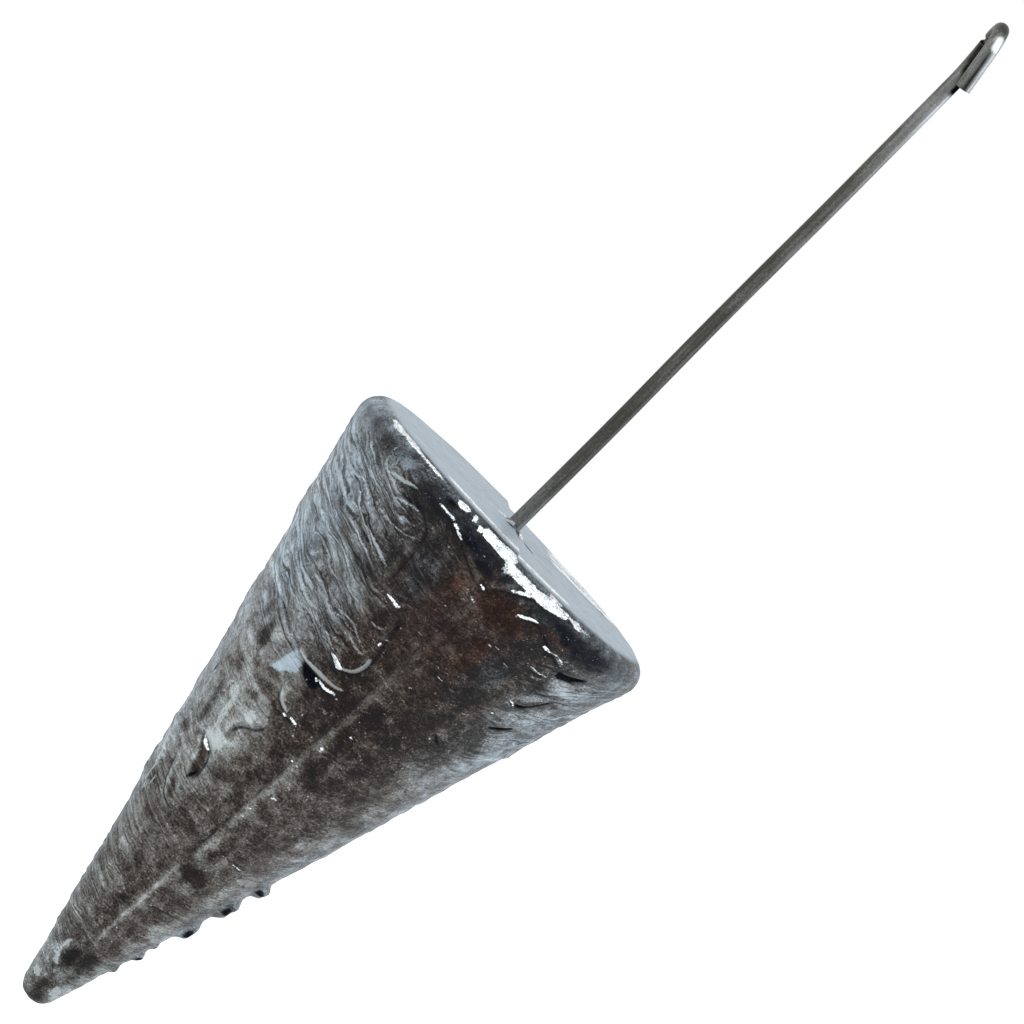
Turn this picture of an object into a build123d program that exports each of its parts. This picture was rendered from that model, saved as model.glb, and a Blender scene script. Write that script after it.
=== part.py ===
from build123d import *
import math
import os

# Fishing sinker: a lead cone cast onto a steel wire that ends in a hand-bent eye.
# Lengths are in millimetres and angles in degrees.
# It hangs as in use, point down: +Z is up, and the origin is the middle of the eye's hole.
# The casting's seam and the eye's cut end face the front, which is -Y.

# Lead cone
top_diameter = 40.6  # across the flat top, as if its rim had no rounding
cone_length = 67.9  # from the flat top to the end of the point
rim_radius = 2.2
point_radius = 2.1

# Marks of the two-part mould
seam_turn = 7.0  # the seam lies this far round from the front, towards +X
mould_step = 0.4  # the -X half of the casting sits this much higher than the other
flash_width = 0.5  # ridge of lead that was squeezed into the seam
flash_height = 0.2
flash_root = 0.6  # how far the ridge reaches into the casting
flash_run_out = 1.5  # the ridge fades over this length at both ends

# Lead drawn up around the wire
collar_diameter = 3.6
collar_height = 0.4
collar_lip = 0.2

# Wire stem
wire_diameter = 1.6
stem_length = 63.9  # from the flat top to the neck of the eye
stem_lean = 1.2  # towards -X
stem_offset = 0.2  # the wire leaves the flat top this far to the -X side of its middle

# Eye at the top of the stem
eye_inner_width = 3.0
eye_height = 6.4  # from the neck to the outside of the crown
eye_gap = 0.1  # front to back, between the stem and the cut end
eye_tail_drop = 1.2  # the cut end hangs this far below the neck
eye_turn = 2.0  # the loop lies front to back, but for this turn of its front towards +X
eye_lean = 9.0  # the loop leans towards -X
eye_shift = 0.5  # the loop's foot stands this far to the +X side of the stem
eye_spread = 0.6  # sideways step from the back leg to the front leg
neck_radius = 1.8
eye_corner_count = 3
eye_corner_share = 0.97  # the corners' own radius, as a share of the loop's radius

# Hook that locks the wire in the lead
hook_depth = 32.0  # below the flat top
hook_width = 6.0  # between the centre lines of its two legs
hook_leg_height = 9.0
hook_radius = 2.4


# Casting

point_rise = cone_length - point_radius
corner_reach = math.hypot(top_diameter / 2, point_rise)
side_angle = math.atan2(top_diameter / 2, point_rise) - math.asin(point_radius / corner_reach)
side_out = Vector(math.cos(side_angle), 0, -math.sin(side_angle))
side_down = Vector(-math.sin(side_angle), 0, -math.cos(side_angle))
rim_corner = Vector(top_diameter / 2, 0, 0)
point_center = Vector(0, 0, -point_rise)
side_foot = point_center + side_out * point_radius


def half_casting():
    """One mould half: flat top, rounded rim, straight side and rounded point."""
    middle_angle = (math.pi / 2 + side_angle) / 2
    middle_out = Vector(math.cos(middle_angle), 0, -math.sin(middle_angle))
    point_middle = point_center + middle_out * point_radius
    point_end = Vector(0, 0, -cone_length)
    outline = [
        Line((0, 0, 0), rim_corner),
        Line(rim_corner, side_foot),
        ThreePointArc(side_foot, point_middle, point_end),
        Line(point_end, (0, 0, 0)),
    ]
    profile = make_face(outline)
    profile = fillet(profile.vertices().sort_by(Axis.X)[-1], rim_radius)
    return revolve(profile, Axis.Z, revolution_arc=180)


def flash_ridge():
    """Thin ridge along the straight side, pointing along +X."""
    rim_tangent = rim_radius / math.tan((math.pi / 2 - side_angle) / 2)
    side_length = (side_foot - rim_corner).length
    root = side_out * -flash_root
    crest = side_out * flash_height
    upper_end = rim_corner + side_down * rim_tangent
    lower_end = rim_corner + side_down * side_length
    corners = [
        upper_end + root,
        upper_end,
        upper_end + side_down * flash_run_out + crest,
        lower_end - side_down * flash_run_out + crest,
        lower_end,
        lower_end + root,
    ]
    ridge_face = make_face(Polyline(*corners, close=True))
    return extrude(ridge_face, amount=flash_width / 2, both=True)


def collar():
    """Low cone of lead around the wire, standing on the lower half of the flat top."""
    height = mould_step + collar_height
    cone = Cone(
        collar_diameter / 2,
        wire_diameter / 2 + collar_lip,
        height,
        align=(Align.CENTER, Align.CENTER, Align.MIN),
    )
    return Pos(0, 0, -mould_step / 2) * cone


def casting():
    """Both mould halves, the ridges in their seam and the collar, as one solid lead body."""
    half = half_casting()
    ridge = flash_ridge()
    front = seam_turn - 90
    back = seam_turn + 90
    body = Pos(0, 0, mould_step / 2) * Rot(0, 0, back) * half
    body += Pos(0, 0, -mould_step / 2) * Rot(0, 0, front) * half
    body += Rot(0, 0, front) * ridge
    body += Rot(0, 0, back) * ridge
    return body + collar()


# Wire, laid out with its neck at the origin, its stem along Z and its cut end towards -Y

eye_radius = (eye_inner_width + wire_diameter) / 2
eye_rise = eye_height - wire_diameter / 2 - eye_radius
tail_reach = wire_diameter + eye_gap
tail_fall = eye_rise + eye_tail_drop


def eye_side(rise, spread_share):
    """How far to the side the loop stands at a height above the neck."""
    return eye_shift - math.tan(math.radians(eye_lean)) * rise + eye_spread * spread_share


def eye_corners():
    """Corners around the loop, from the back leg over the crown to the front leg."""
    back_lean = math.asin(eye_radius / eye_rise)
    tail_distance = math.hypot(tail_reach, tail_fall)
    front_lean = math.asin(eye_radius / tail_distance) - math.atan2(tail_reach, tail_fall)
    start_angle = math.pi + back_lean
    corner_turn = (start_angle + front_lean) / eye_corner_count
    corner_distance = eye_radius / math.cos(corner_turn / 2)
    corners = []
    for index in range(eye_corner_count):
        along_share = (index + 0.5) / eye_corner_count
        angle = start_angle - corner_turn * (index + 0.5)
        rise = eye_rise + corner_distance * math.sin(angle)
        forward = corner_distance * math.cos(angle)
        corners.append(Vector(eye_side(rise, along_share - 0.5), -forward, rise))
    return corners


def wire():
    """Hook, stem and eye as one bent wire."""
    hook_bottom = -stem_length - hook_depth
    tail_end = Vector(eye_side(-eye_tail_drop, 0.5), -tail_reach, -eye_tail_drop)
    route = [
        Vector(0, hook_width, hook_bottom + hook_leg_height),
        Vector(0, hook_width, hook_bottom),
        Vector(0, 0, hook_bottom),
        Vector(0, 0, 0),
        *eye_corners(),
        tail_end,
    ]
    radii = [hook_radius, hook_radius, neck_radius]
    radii += [eye_radius * eye_corner_share] * eye_corner_count
    path = FilletPolyline(*route, radius=radii)
    section = Plane(origin=path @ 0, z_dir=path % 0) * Circle(wire_diameter / 2)
    return sweep(section, path=path)


# The wire leaves the flat top near its middle and leans a little

wire_foot = Pos(-stem_offset, 0, 0) * Rot(0, -stem_lean, 0)
wire_place = wire_foot * Rot(0, 0, eye_turn) * Pos(0, 0, stem_length)
eye_center = (wire_place * Pos(eye_side(eye_rise, 0), 0, eye_rise)).position
to_origin = Pos(-eye_center)

wire_stem = wire_place * wire()
lead_cone = casting() - wire_stem

os.makedirs("parts", exist_ok=True)
export_step(to_origin * lead_cone, "parts/lead_cone.step")
export_step(to_origin * wire_stem, "parts/wire_stem.step")
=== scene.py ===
import math

import bmesh
import bpy
import numpy as np
from mathutils import Matrix, Vector, noise


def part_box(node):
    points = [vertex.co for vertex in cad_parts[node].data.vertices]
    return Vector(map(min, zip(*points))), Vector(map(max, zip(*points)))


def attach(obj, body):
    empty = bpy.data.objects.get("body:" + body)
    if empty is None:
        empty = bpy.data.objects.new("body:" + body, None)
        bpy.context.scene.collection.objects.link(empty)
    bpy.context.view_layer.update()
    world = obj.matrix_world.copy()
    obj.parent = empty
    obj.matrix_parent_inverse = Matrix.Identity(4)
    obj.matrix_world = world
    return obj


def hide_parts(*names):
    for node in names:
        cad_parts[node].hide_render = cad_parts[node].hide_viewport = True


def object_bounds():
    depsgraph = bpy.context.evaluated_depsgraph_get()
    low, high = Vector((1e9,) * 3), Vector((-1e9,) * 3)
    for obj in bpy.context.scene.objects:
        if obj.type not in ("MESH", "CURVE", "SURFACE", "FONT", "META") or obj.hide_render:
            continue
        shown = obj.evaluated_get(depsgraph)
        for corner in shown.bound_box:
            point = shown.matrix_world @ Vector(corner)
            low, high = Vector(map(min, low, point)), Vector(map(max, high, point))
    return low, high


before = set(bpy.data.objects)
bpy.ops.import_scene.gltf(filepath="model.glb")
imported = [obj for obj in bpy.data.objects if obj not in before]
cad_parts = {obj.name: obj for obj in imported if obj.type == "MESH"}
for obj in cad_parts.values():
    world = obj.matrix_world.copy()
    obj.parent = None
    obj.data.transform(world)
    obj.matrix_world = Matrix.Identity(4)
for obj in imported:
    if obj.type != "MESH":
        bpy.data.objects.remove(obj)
cad_low, cad_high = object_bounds()

# The sinker hangs point down from its wire eye, and its front, with the casting's seam, faces -Y.
# Sizes are in millimetres from the middle of the casting's flat top. A place on its side is an azimuth
# in degrees, 0 at the front and growing towards +X, and a depth below the flat top.
MM = 0.001

CONE_LENGTH = 67.9
TOP_RADIUS = 20.3
RIM_RADIUS = 2.2
POINT_RADIUS = 2.1
SEAM_AZIMUTH = 7.0
MOULD_STEP = 0.4
COLLAR_HEIGHT = 0.4
COLLAR_RADIUS = 1.8

WIRE_RADIUS = 0.8
STEM_LENGTH = 63.9
STEM_LEAN = 1.2
STEM_OFFSET = 0.2
EYE_RADIUS = 2.3
EYE_HEIGHT = 6.4
EYE_GAP = 0.1
EYE_TAIL_DROP = 1.2
EYE_TURN = 2.0
EYE_LEAN = 9.0
EYE_SHIFT = 0.5
EYE_SPREAD = 0.6
HOOK_DEPTH = 32.0
HOOK_WIDTH = 6.0
HOOK_LEG_HEIGHT = 9.0

lead_low, lead_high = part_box("lead_cone")
TOP_MIDDLE = Vector((
    (lead_low.x + lead_high.x) / 2,
    (lead_low.y + lead_high.y) / 2,
    lead_high.z - (MOULD_STEP / 2 + COLLAR_HEIGHT) * MM,
))


def linear(hex_color):
    """An sRGB colour such as 8a9299 as linear red, green, blue and alpha."""
    values = [int(hex_color[i:i + 2], 16) / 255 for i in (0, 2, 4)]
    return [v / 12.92 if v <= 0.04045 else ((v + 0.055) / 1.055) ** 2.4 for v in values] + [1.0]


def add(tree, kind, inputs=(), output=0, stops=(), **settings):
    """Adds a node with its settings and links, and gives one of its outputs.

    Inputs are in order, or by name or number, and each takes a fixed value or another node's output.
    Stops are the places and hex colours of a colour ramp."""
    made = tree.nodes.new("ShaderNode" + kind)
    for name, value in settings.items():
        setattr(made, name, value)
    named = inputs if isinstance(inputs, dict) else dict(enumerate(inputs))
    for name, value in named.items():
        if isinstance(value, bpy.types.NodeSocket):
            tree.links.new(value, made.inputs[name])
        else:
            made.inputs[name].default_value = value
    for number, (position, color) in enumerate(stops):
        elements = made.color_ramp.elements
        element = elements[number] if number < 2 else elements.new(position)
        element.position = position
        element.color = linear(color)
    return made.outputs[output] if len(made.outputs) else None


def new_material(name):
    made = bpy.data.materials.new(name)
    made.use_nodes = True
    made.node_tree.nodes.clear()
    return made, made.node_tree


def smooth(value, start, end):
    """0 before start, 1 after end, and a soft step between them."""
    share = np.clip((value - start) / (end - start), 0, 1)
    return share * share * (3 - 2 * share)


def read_points(mesh, what):
    """The places or the normals of a mesh's points, as rows of x, y and z."""
    values = np.empty(len(mesh.vertices) * 3)
    mesh.vertices.foreach_get(what, values)
    return values.reshape(-1, 3)


def store_marks(mesh, marks):
    """Stores each mark as an attribute of the points, from 0 to 1, for the material to read."""
    for name, values in marks.items():
        values = np.clip(values, 0, 1).astype(np.float32)
        mesh.attributes.new(name, "FLOAT", "POINT").data.foreach_set("value", values)


# Camera: from the front and a little above, rolled so that the eye is up on the right

IMAGE_SIZE = 1024
MM_PER_PIXEL = 0.1
CAMERA_DISTANCE = 700.0
CAMERA_ELEVATION = 4.4
CAMERA_ROLL = 46.0
CAMERA_DIP = 0.077  # sine of the elevation
TOP_MIDDLE_PIXEL = (513.0, 529.6)


def set_camera():
    elevation = math.radians(CAMERA_ELEVATION)
    back = Vector((0, -math.cos(elevation), math.sin(elevation)))
    turn = back.to_track_quat("Z", "Y").to_matrix().to_4x4()
    turn = turn @ Matrix.Rotation(math.radians(CAMERA_ROLL), 4, "Z")
    right = turn.col[0].to_3d()
    up = turn.col[1].to_3d()
    shift_right = (IMAGE_SIZE / 2 - TOP_MIDDLE_PIXEL[0]) * MM_PER_PIXEL * MM
    shift_up = (TOP_MIDDLE_PIXEL[1] - IMAGE_SIZE / 2) * MM_PER_PIXEL * MM
    aim = TOP_MIDDLE + right * shift_right + up * shift_up
    data = bpy.data.cameras.new("photo_camera")
    data.sensor_width = 36.0
    data.lens = data.sensor_width * CAMERA_DISTANCE / (IMAGE_SIZE * MM_PER_PIXEL)
    camera = bpy.data.objects.new("photo_camera", data)
    bpy.context.scene.collection.objects.link(camera)
    camera.matrix_world = Matrix.Translation(aim + back * CAMERA_DISTANCE * MM) @ turn
    data.clip_start = 0.01
    data.clip_end = 20.0
    bpy.context.scene.camera = camera


set_camera()


# Casting: its half outline is drawn edge by edge and spun round, and then the skin is shaped

COLUMNS = 270
FRONT_CROWDING = 0.6
SIDE_CROWDING = 0.1
TOP_CROWDING = 0.25
FLAT_CUTS = 16
SIDE_CUTS = 100
SIDE_CUTS_AGAIN = 2
RIM_STEPS = 12
POINT_STEPS = 8
MERGE_DISTANCE = 0.002

side_angle = math.atan2(TOP_RADIUS, CONE_LENGTH - POINT_RADIUS)
side_angle -= math.asin(POINT_RADIUS / math.hypot(TOP_RADIUS, CONE_LENGTH - POINT_RADIUS))


def side_radius(depth):
    return np.maximum(TOP_RADIUS - math.tan(side_angle) * depth, POINT_RADIUS / 2)


def outline_corners():
    """Radius and height of the outline's corners, from the collar at the wire to the end of the point."""
    corners = [
        (WIRE_RADIUS, COLLAR_HEIGHT),
        (WIRE_RADIUS + 0.2, COLLAR_HEIGHT),
        (WIRE_RADIUS + 0.35, COLLAR_HEIGHT * 0.7),
        (COLLAR_RADIUS - 0.3, COLLAR_HEIGHT * 0.25),
        (COLLAR_RADIUS, COLLAR_HEIGHT * 0.06),
        (COLLAR_RADIUS + 0.5, 0),
    ]
    rim_middle = TOP_RADIUS - math.tan(side_angle) * RIM_RADIUS - RIM_RADIUS / math.cos(side_angle)
    for step in range(RIM_STEPS + 1):
        angle = math.pi / 2 - (math.pi / 2 + side_angle) * step / RIM_STEPS
        corners.append((rim_middle + RIM_RADIUS * math.cos(angle), RIM_RADIUS * (math.sin(angle) - 1)))
    point_middle = POINT_RADIUS - CONE_LENGTH
    for step in range(POINT_STEPS + 1):
        angle = -side_angle - (math.pi / 2 - side_angle) * step / POINT_STEPS
        corners.append((POINT_RADIUS * math.cos(angle), point_middle + POINT_RADIUS * math.sin(angle)))
    return corners


def select_edges(mesh, shortest, longest):
    """Selects the outline's edges whose length is between two lengths."""
    shape = bmesh.from_edit_mesh(mesh)
    for edge in shape.edges:
        edge.select_set(shortest * MM < edge.calc_length() < longest * MM)
    bmesh.update_edit_mesh(mesh)


def spin_casting():
    bpy.ops.object.select_all(action="DESELECT")
    bpy.ops.mesh.primitive_plane_add(size=MM, location=(0, 0, 0))
    casting = bpy.context.object
    casting.name = "lead_casting"
    bpy.ops.object.mode_set(mode="EDIT")
    bpy.ops.mesh.select_all(action="SELECT")
    bpy.ops.mesh.merge(type="CENTER")
    last = (0, 0)
    for corner in outline_corners():
        move = ((corner[0] - last[0]) * MM, 0, (corner[1] - last[1]) * MM)
        bpy.ops.mesh.extrude_region_move(TRANSFORM_OT_translate={"value": move})
        last = corner
    bpy.ops.mesh.select_mode(type="EDGE")
    select_edges(casting.data, TOP_RADIUS / 2, TOP_RADIUS)
    bpy.ops.mesh.subdivide(number_cuts=FLAT_CUTS)
    select_edges(casting.data, CONE_LENGTH / 2, CONE_LENGTH * 2)
    bpy.ops.mesh.subdivide(number_cuts=SIDE_CUTS)
    bpy.ops.mesh.subdivide(number_cuts=SIDE_CUTS_AGAIN)
    bpy.ops.mesh.select_mode(type="VERT")
    bpy.ops.mesh.select_all(action="SELECT")
    bpy.ops.mesh.spin(steps=COLUMNS, angle=2 * math.pi, center=(0, 0, 0), axis=(0, 0, 1))
    bpy.ops.mesh.select_all(action="SELECT")
    bpy.ops.mesh.remove_doubles(threshold=MERGE_DISTANCE * MM)
    bpy.ops.mesh.normals_make_consistent(inside=False)
    bpy.ops.object.mode_set(mode="OBJECT")
    bpy.ops.object.shade_smooth()
    return casting


def crowd_points(mesh):
    """Turns the columns so that the seam lies between two, and crowds points at the front and the top."""
    places = read_points(mesh, "co") / MM
    reach = np.hypot(places[:, 0], places[:, 1])
    turn = np.arctan2(places[:, 1], places[:, 0]) + math.pi / COLUMNS
    azimuth = math.radians(SEAM_AZIMUTH) + turn
    azimuth += SIDE_CROWDING * np.sin(2 * turn) - FRONT_CROWDING * np.sin(turn)
    top = RIM_RADIUS * (1 + math.sin(side_angle))
    bottom = CONE_LENGTH - POINT_RADIUS * (1 - math.sin(side_angle))
    share = np.clip((-places[:, 2] - top) / (bottom - top), 0, 1)
    drop = TOP_CROWDING * (share * share - share) * (bottom - top)
    reach -= math.tan(side_angle) * drop
    places[:, 0] = reach * np.sin(azimuth)
    places[:, 1] = -reach * np.cos(azimuth)
    places[:, 2] -= drop
    mesh.vertices.foreach_set("co", (places * MM).ravel())
    mesh.update()


# Marks on the casting that its material reads, in order: lightness, pale skin, painted highlight, painted
# shade, brown stain, wrinkles and a cooler tint
MARKS = ("light", "pale", "bare", "soot", "rust", "lines", "cool")

# Marks with a clear edge fade over this width, and the material cuts them off in the middle of it
SOFT_EDGE = 0.45

# The step between the mould halves fades out between these depths
STEP_FADE = (62, 67)

# Wrinkles sag towards the seams by this share of the radius, and lie closer together from a depth on
FLOW_SAG = 0.34
CLOSER_FROM = 25
CLOSER_RATE = 0.01

# They wander in noise of three sizes: how far, the noise's scale and its seed
FLOW_WANDER = [(0.9, (0.12, 0.4, 1), 4), (0.4, (0.25, 0.8, 1), 5), (0.12, (1, 2.2, 1), 6)]

# The third number of the flow tells the two halves and the flat top apart
HALF_FLOW = 9
TOP_FLOW = 40
TOP_FLOW_SCALE = [1, 0.3, 1]

NOISE_OCTAVES = 3
CURVE_STEPS = 6


def noise_at(places, seed):
    shift = Vector((seed * 17.3, seed * 5.9, seed * 11.1))
    return np.array([noise.fractal(Vector(place) + shift, 1.0, 2.0, NOISE_OCTAVES) for place in places])


def wrapped(angle):
    """The same angle between -180 and 180 degrees."""
    return (angle + 180) % 360 - 180


class Skin:
    """The casting's surface while it is shaped: where its points are, how they rise and are marked."""

    def __init__(self, mesh):
        self.mesh = mesh
        self.places = read_points(mesh, "co") / MM
        self.normals = read_points(mesh, "normal")
        x, y, z = self.places.T
        self.reach = np.hypot(x, y)
        self.depth = -z
        from_seam = wrapped(np.degrees(np.arctan2(x, -y)) - SEAM_AZIMUTH)
        self.lift = np.where(from_seam < 0, 0.5, -0.5) * MOULD_STEP * (1 - smooth(self.depth, *STEP_FADE))
        # Places on the side are as the camera sees them, to which what is near looks larger
        larger = 1 + (np.abs(y) + CAMERA_DIP * z) / CAMERA_DISTANCE
        self.down = (self.depth - self.lift) * larger
        across = np.clip(x * larger / side_radius(self.down), -1, 1)
        self.azimuth = np.degrees(np.arctan2(across, np.copysign(np.sqrt(1 - across ** 2), -y)))
        self.flat = smooth(self.normals[:, 2], 0.9, 0.999)
        self.side = 1 - self.flat
        self.rise = np.zeros(len(self.places))
        self.marks = {name: np.zeros(len(self.places)) for name in MARKS}
        self.follow_flow()

    def cloud(self, size, seed):
        """Smooth noise in lumps of about that size, from about -1 to 1."""
        return noise_at(self.places / size, seed)

    def follow_flow(self):
        """Where each point lies in the flow of the lead: its way round from the seam, and a height whose
        contours are the wrinkles. They sag towards both seams, and wander."""
        turn = self.turn_from(SEAM_AZIMUTH)
        radius = side_radius(self.depth)
        along = np.radians(turn) * radius
        swing = np.radians(np.minimum(np.abs(turn), 180 - np.abs(turn)))
        sag = FLOW_SAG * (1 - np.cos(swing)) * radius
        flow = np.stack([along, self.depth + sag, HALF_FLOW * np.sign(along)], axis=1)
        wander = np.zeros(len(along))
        for reach, scale, seed in FLOW_WANDER:
            wander += reach * noise_at(flow * scale, seed)
        flow[:, 1] += wander + CLOSER_RATE * np.maximum(flow[:, 1] - CLOSER_FROM, 0) ** 2
        self.flow = np.where(self.flat[:, None] > 0.5, self.places * TOP_FLOW_SCALE + TOP_FLOW, flow)

    def turn_from(self, azimuth):
        return wrapped(self.azimuth - azimuth)

    def mark(self, name, found, amount):
        """Light and lines add up, and of the other marks the strongest stays."""
        if name in ("light", "lines"):
            self.marks[name][found] += amount
        else:
            self.marks[name][found] = np.maximum(self.marks[name][found], amount)

    def mark_all(self, name, amount):
        self.mark(name, np.arange(len(self.depth)), amount)

    def press(self, found, shape, rise, marks):
        """Raises and marks the points that were found, each by its share of the shape."""
        self.rise[found] += rise * shape
        for name, amount in marks.items():
            self.mark(name, found, amount * shape)

    def near_line(self, line, reach):
        """Points near a line drawn on the side: their numbers, their distances, which are negative on the
        left hand of someone who walks along it, their shares along it, and whether a closed line has them
        inside."""
        line = np.array(line, float)
        middle = line[:, 0].mean()
        spans = len(line) - 1
        padded = np.vstack([2 * line[0] - line[1], line, 2 * line[-1] - line[-2]])
        share = np.linspace(0, spans, spans * CURVE_STEPS + 1)
        start = np.minimum(share.astype(int), spans - 1)
        t = (share - start)[:, None]
        p0, p1, p2, p3 = (padded[start + k] for k in range(4))
        curve = 0.5 * (2 * p1 + (p2 - p0) * t + (2 * p0 - 5 * p1 + 4 * p2 - p3) * t ** 2
                       + (3 * p1 - p0 - 3 * p2 + p3) * t ** 3)
        across = np.radians(curve[:, 0] - middle) * side_radius(curve[:, 1])
        down = curve[:, 1] / math.cos(side_angle)
        turn = self.turn_from(middle)
        own_across = np.radians(turn) * side_radius(self.down)
        own_down = self.down / math.cos(side_angle)
        close = (own_across > across.min() - reach) & (own_across < across.max() + reach)
        close &= (own_down > down.min() - reach) & (own_down < down.max() + reach)
        close &= (np.abs(turn) < 120) & (self.flat < 0.5)
        found = np.nonzero(close)[0]
        best = np.full(len(found), np.inf)
        hand = np.ones(len(found))
        along = np.zeros(len(found))
        inside = np.zeros(len(found), bool)
        for i in range(len(across) - 1):
            step = np.array([across[i + 1] - across[i], down[i + 1] - down[i]])
            to_x = own_across[found] - across[i]
            to_y = own_down[found] - down[i]
            part = np.clip((to_x * step[0] + to_y * step[1]) / (step @ step + 1e-9), 0, 1)
            far = np.hypot(to_x - part * step[0], to_y - part * step[1])
            better = far < best
            best = np.where(better, far, best)
            hand = np.where(better, np.sign(step[0] * to_y - step[1] * to_x), hand)
            along = np.where(better, (i + part) / (len(across) - 1), along)
            crossed = (to_y >= 0) != (to_y >= step[1])
            inside ^= crossed & (to_x * abs(step[1]) < to_y * step[0] * np.sign(step[1]))
        return found, best * hand, along, inside

    def fold(self, line, height, roll=2.5, lip=0.4, pale=0.15, soot=0.5):
        """A fold of lead that froze before the next one reached it: a rounded lip, paler on its crest, and
        a crease below it darkened with painted shade.
        """
        found, away, along, _ = self.near_line(line, 3 * roll)
        fade = smooth(along, 0, 0.2) * (1 - smooth(along, 0.8, 1))
        crest = np.exp(-((away + lip) / lip) ** 2)
        shelf = np.exp(np.minimum(away, 0) / roll) * (1 - smooth(away, -0.1, 0.2))
        groove = np.exp(-((away - 0.2) / 0.25) ** 2)
        self.rise[found] += fade * height * (0.5 * crest + 0.5 * shelf - 0.5 * groove)
        self.mark("light", found, fade * pale * crest)
        self.mark("soot", found, fade * soot * groove)

    def stroke(self, line, width, rise=0.0, **marks):
        """A line that thins out at its ends, raised or sunken, with marks that are halved at its edges."""
        found, away, along, _ = self.near_line(line, width + SOFT_EDGE)
        body = np.clip(np.sin(math.pi * along), 0, 1) ** 0.6
        half = width * (0.3 + 0.7 * body)
        shape = np.clip(0.5 + (half - np.abs(away)) / SOFT_EDGE, 0, 1) * np.minimum(1, 3 * body)
        self.press(found, shape, rise, marks)

    def area(self, corners, rise=0.0, **marks):
        """An area with a clear edge, raised or sunken, with marks that are halved at its edge."""
        found, away, _, inside = self.near_line([*corners, corners[0]], SOFT_EDGE)
        shape = np.clip(0.5 + np.where(inside, 1, -1) * np.abs(away) / SOFT_EDGE, 0, 1)
        self.press(found, shape, rise, marks)

    def spot(self, x, y, radius, rise=0.0, **marks):
        """A round spot on the flat top."""
        far = np.hypot(self.places[:, 0] - x, self.places[:, 1] - y)
        found = np.nonzero((far < 2 * radius) & (self.depth < 0.1))[0]
        self.press(found, 1 - smooth(far[found], 0, 2 * radius), rise, marks)

    def patch(self, azimuth, depth, half_turn, half_depth, rise=0.0, soft=0.6, **marks):
        """A rounded spot, raised or sunken and marked, whose edge is that soft."""
        far = np.hypot(self.turn_from(azimuth) / half_turn, (self.down - depth) / half_depth)
        found = np.nonzero((far < 1 + soft) & (self.flat < 0.5))[0]
        self.press(found, 1 - smooth(far[found], 1 - soft, 1 + soft), rise, marks)

    def write(self):
        """Moves the points, and stores the marks and the flow of the lead for the material to read."""
        moved = self.places + self.normals * self.rise[:, None]
        moved[:, 2] += self.lift
        moved = moved * MM + np.array(TOP_MIDDLE)
        self.mesh.vertices.foreach_set("co", moved.ravel())
        store_marks(self.mesh, self.marks)
        flow = self.flow.astype(np.float32).ravel()
        self.mesh.attributes.new("flow", "FLOAT_VECTOR", "POINT").data.foreach_set("vector", flow)
        self.mesh.update()


# Folds that show most, from the rim down. Each line has its fold's raised side on its left.
FOLDS = [
    dict(line=[(-22, 1.6), (-16, 1.9), (-10, 2.6), (-5, 3.5), (1, 4.4), (6, 4.8)], height=0.2),
    dict(line=[(7, 4.6), (9, 3.8), (14, 2.7), (20, 1.6), (26, 0.9)], height=0.2),
    dict(line=[(20, 4.1), (26, 3.4), (32, 3.9), (38, 4.6), (46, 5.2)], height=0.2),
    dict(line=[(-14.5, 12), (-16.8, 11.2), (-17.2, 9.2), (-17.3, 7), (-18, 5.6), (-20, 4.7), (-24, 4.2),
               (-30, 4.4), (-36, 5.2)], height=0.2),
    dict(line=[(-24, 19.2), (-18, 20), (-13, 20.6), (-8.5, 21), (-4, 20.5), (-1.5, 19.4), (-1.5, 18),
               (-3, 16), (-3.6, 14), (-6, 12.6), (-14, 12.1)], height=0.28, roll=3.5),
    dict(line=[(-36, 21.4), (-30, 22.3), (-27, 22.7), (-20, 23.1), (-13, 23.2), (-5, 22.9), (2, 22.3)],
         height=0.28, roll=3, soot=0.25),
    dict(line=[(-24, 25.6), (-20.5, 26.7), (-19, 27.5), (-14, 28.1), (-9.5, 28.3), (-4, 28.2)],
         height=0.22),
    dict(line=[(-26, 34.2), (-28, 33.4), (-26, 32.6), (-21, 31.9), (-16.5, 31.2), (-15, 29.8)],
         height=0.2),
    dict(line=[(-33, 40.4), (-28, 39.3), (-28, 38), (-31, 36.9), (-37, 36.3), (-47, 36.2)],
         height=0.25),
    dict(line=[(-52, 38.2), (-47.5, 39.6), (-45, 41), (-42, 42.1), (-37, 42.9), (-28, 43.3), (-22, 43)],
         height=0.3),
    dict(line=[(-84, 35), (-72, 37.5), (-66, 40), (-63, 42.5), (-64, 45)], height=0.25, roll=2),
    dict(line=[(13, 52.1), (20, 51.6), (33, 51.2), (62, 50.4)], height=0.12),
    dict(line=[(46, 8.8), (52, 8.2), (60, 6.8)], height=0.15),
]
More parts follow.
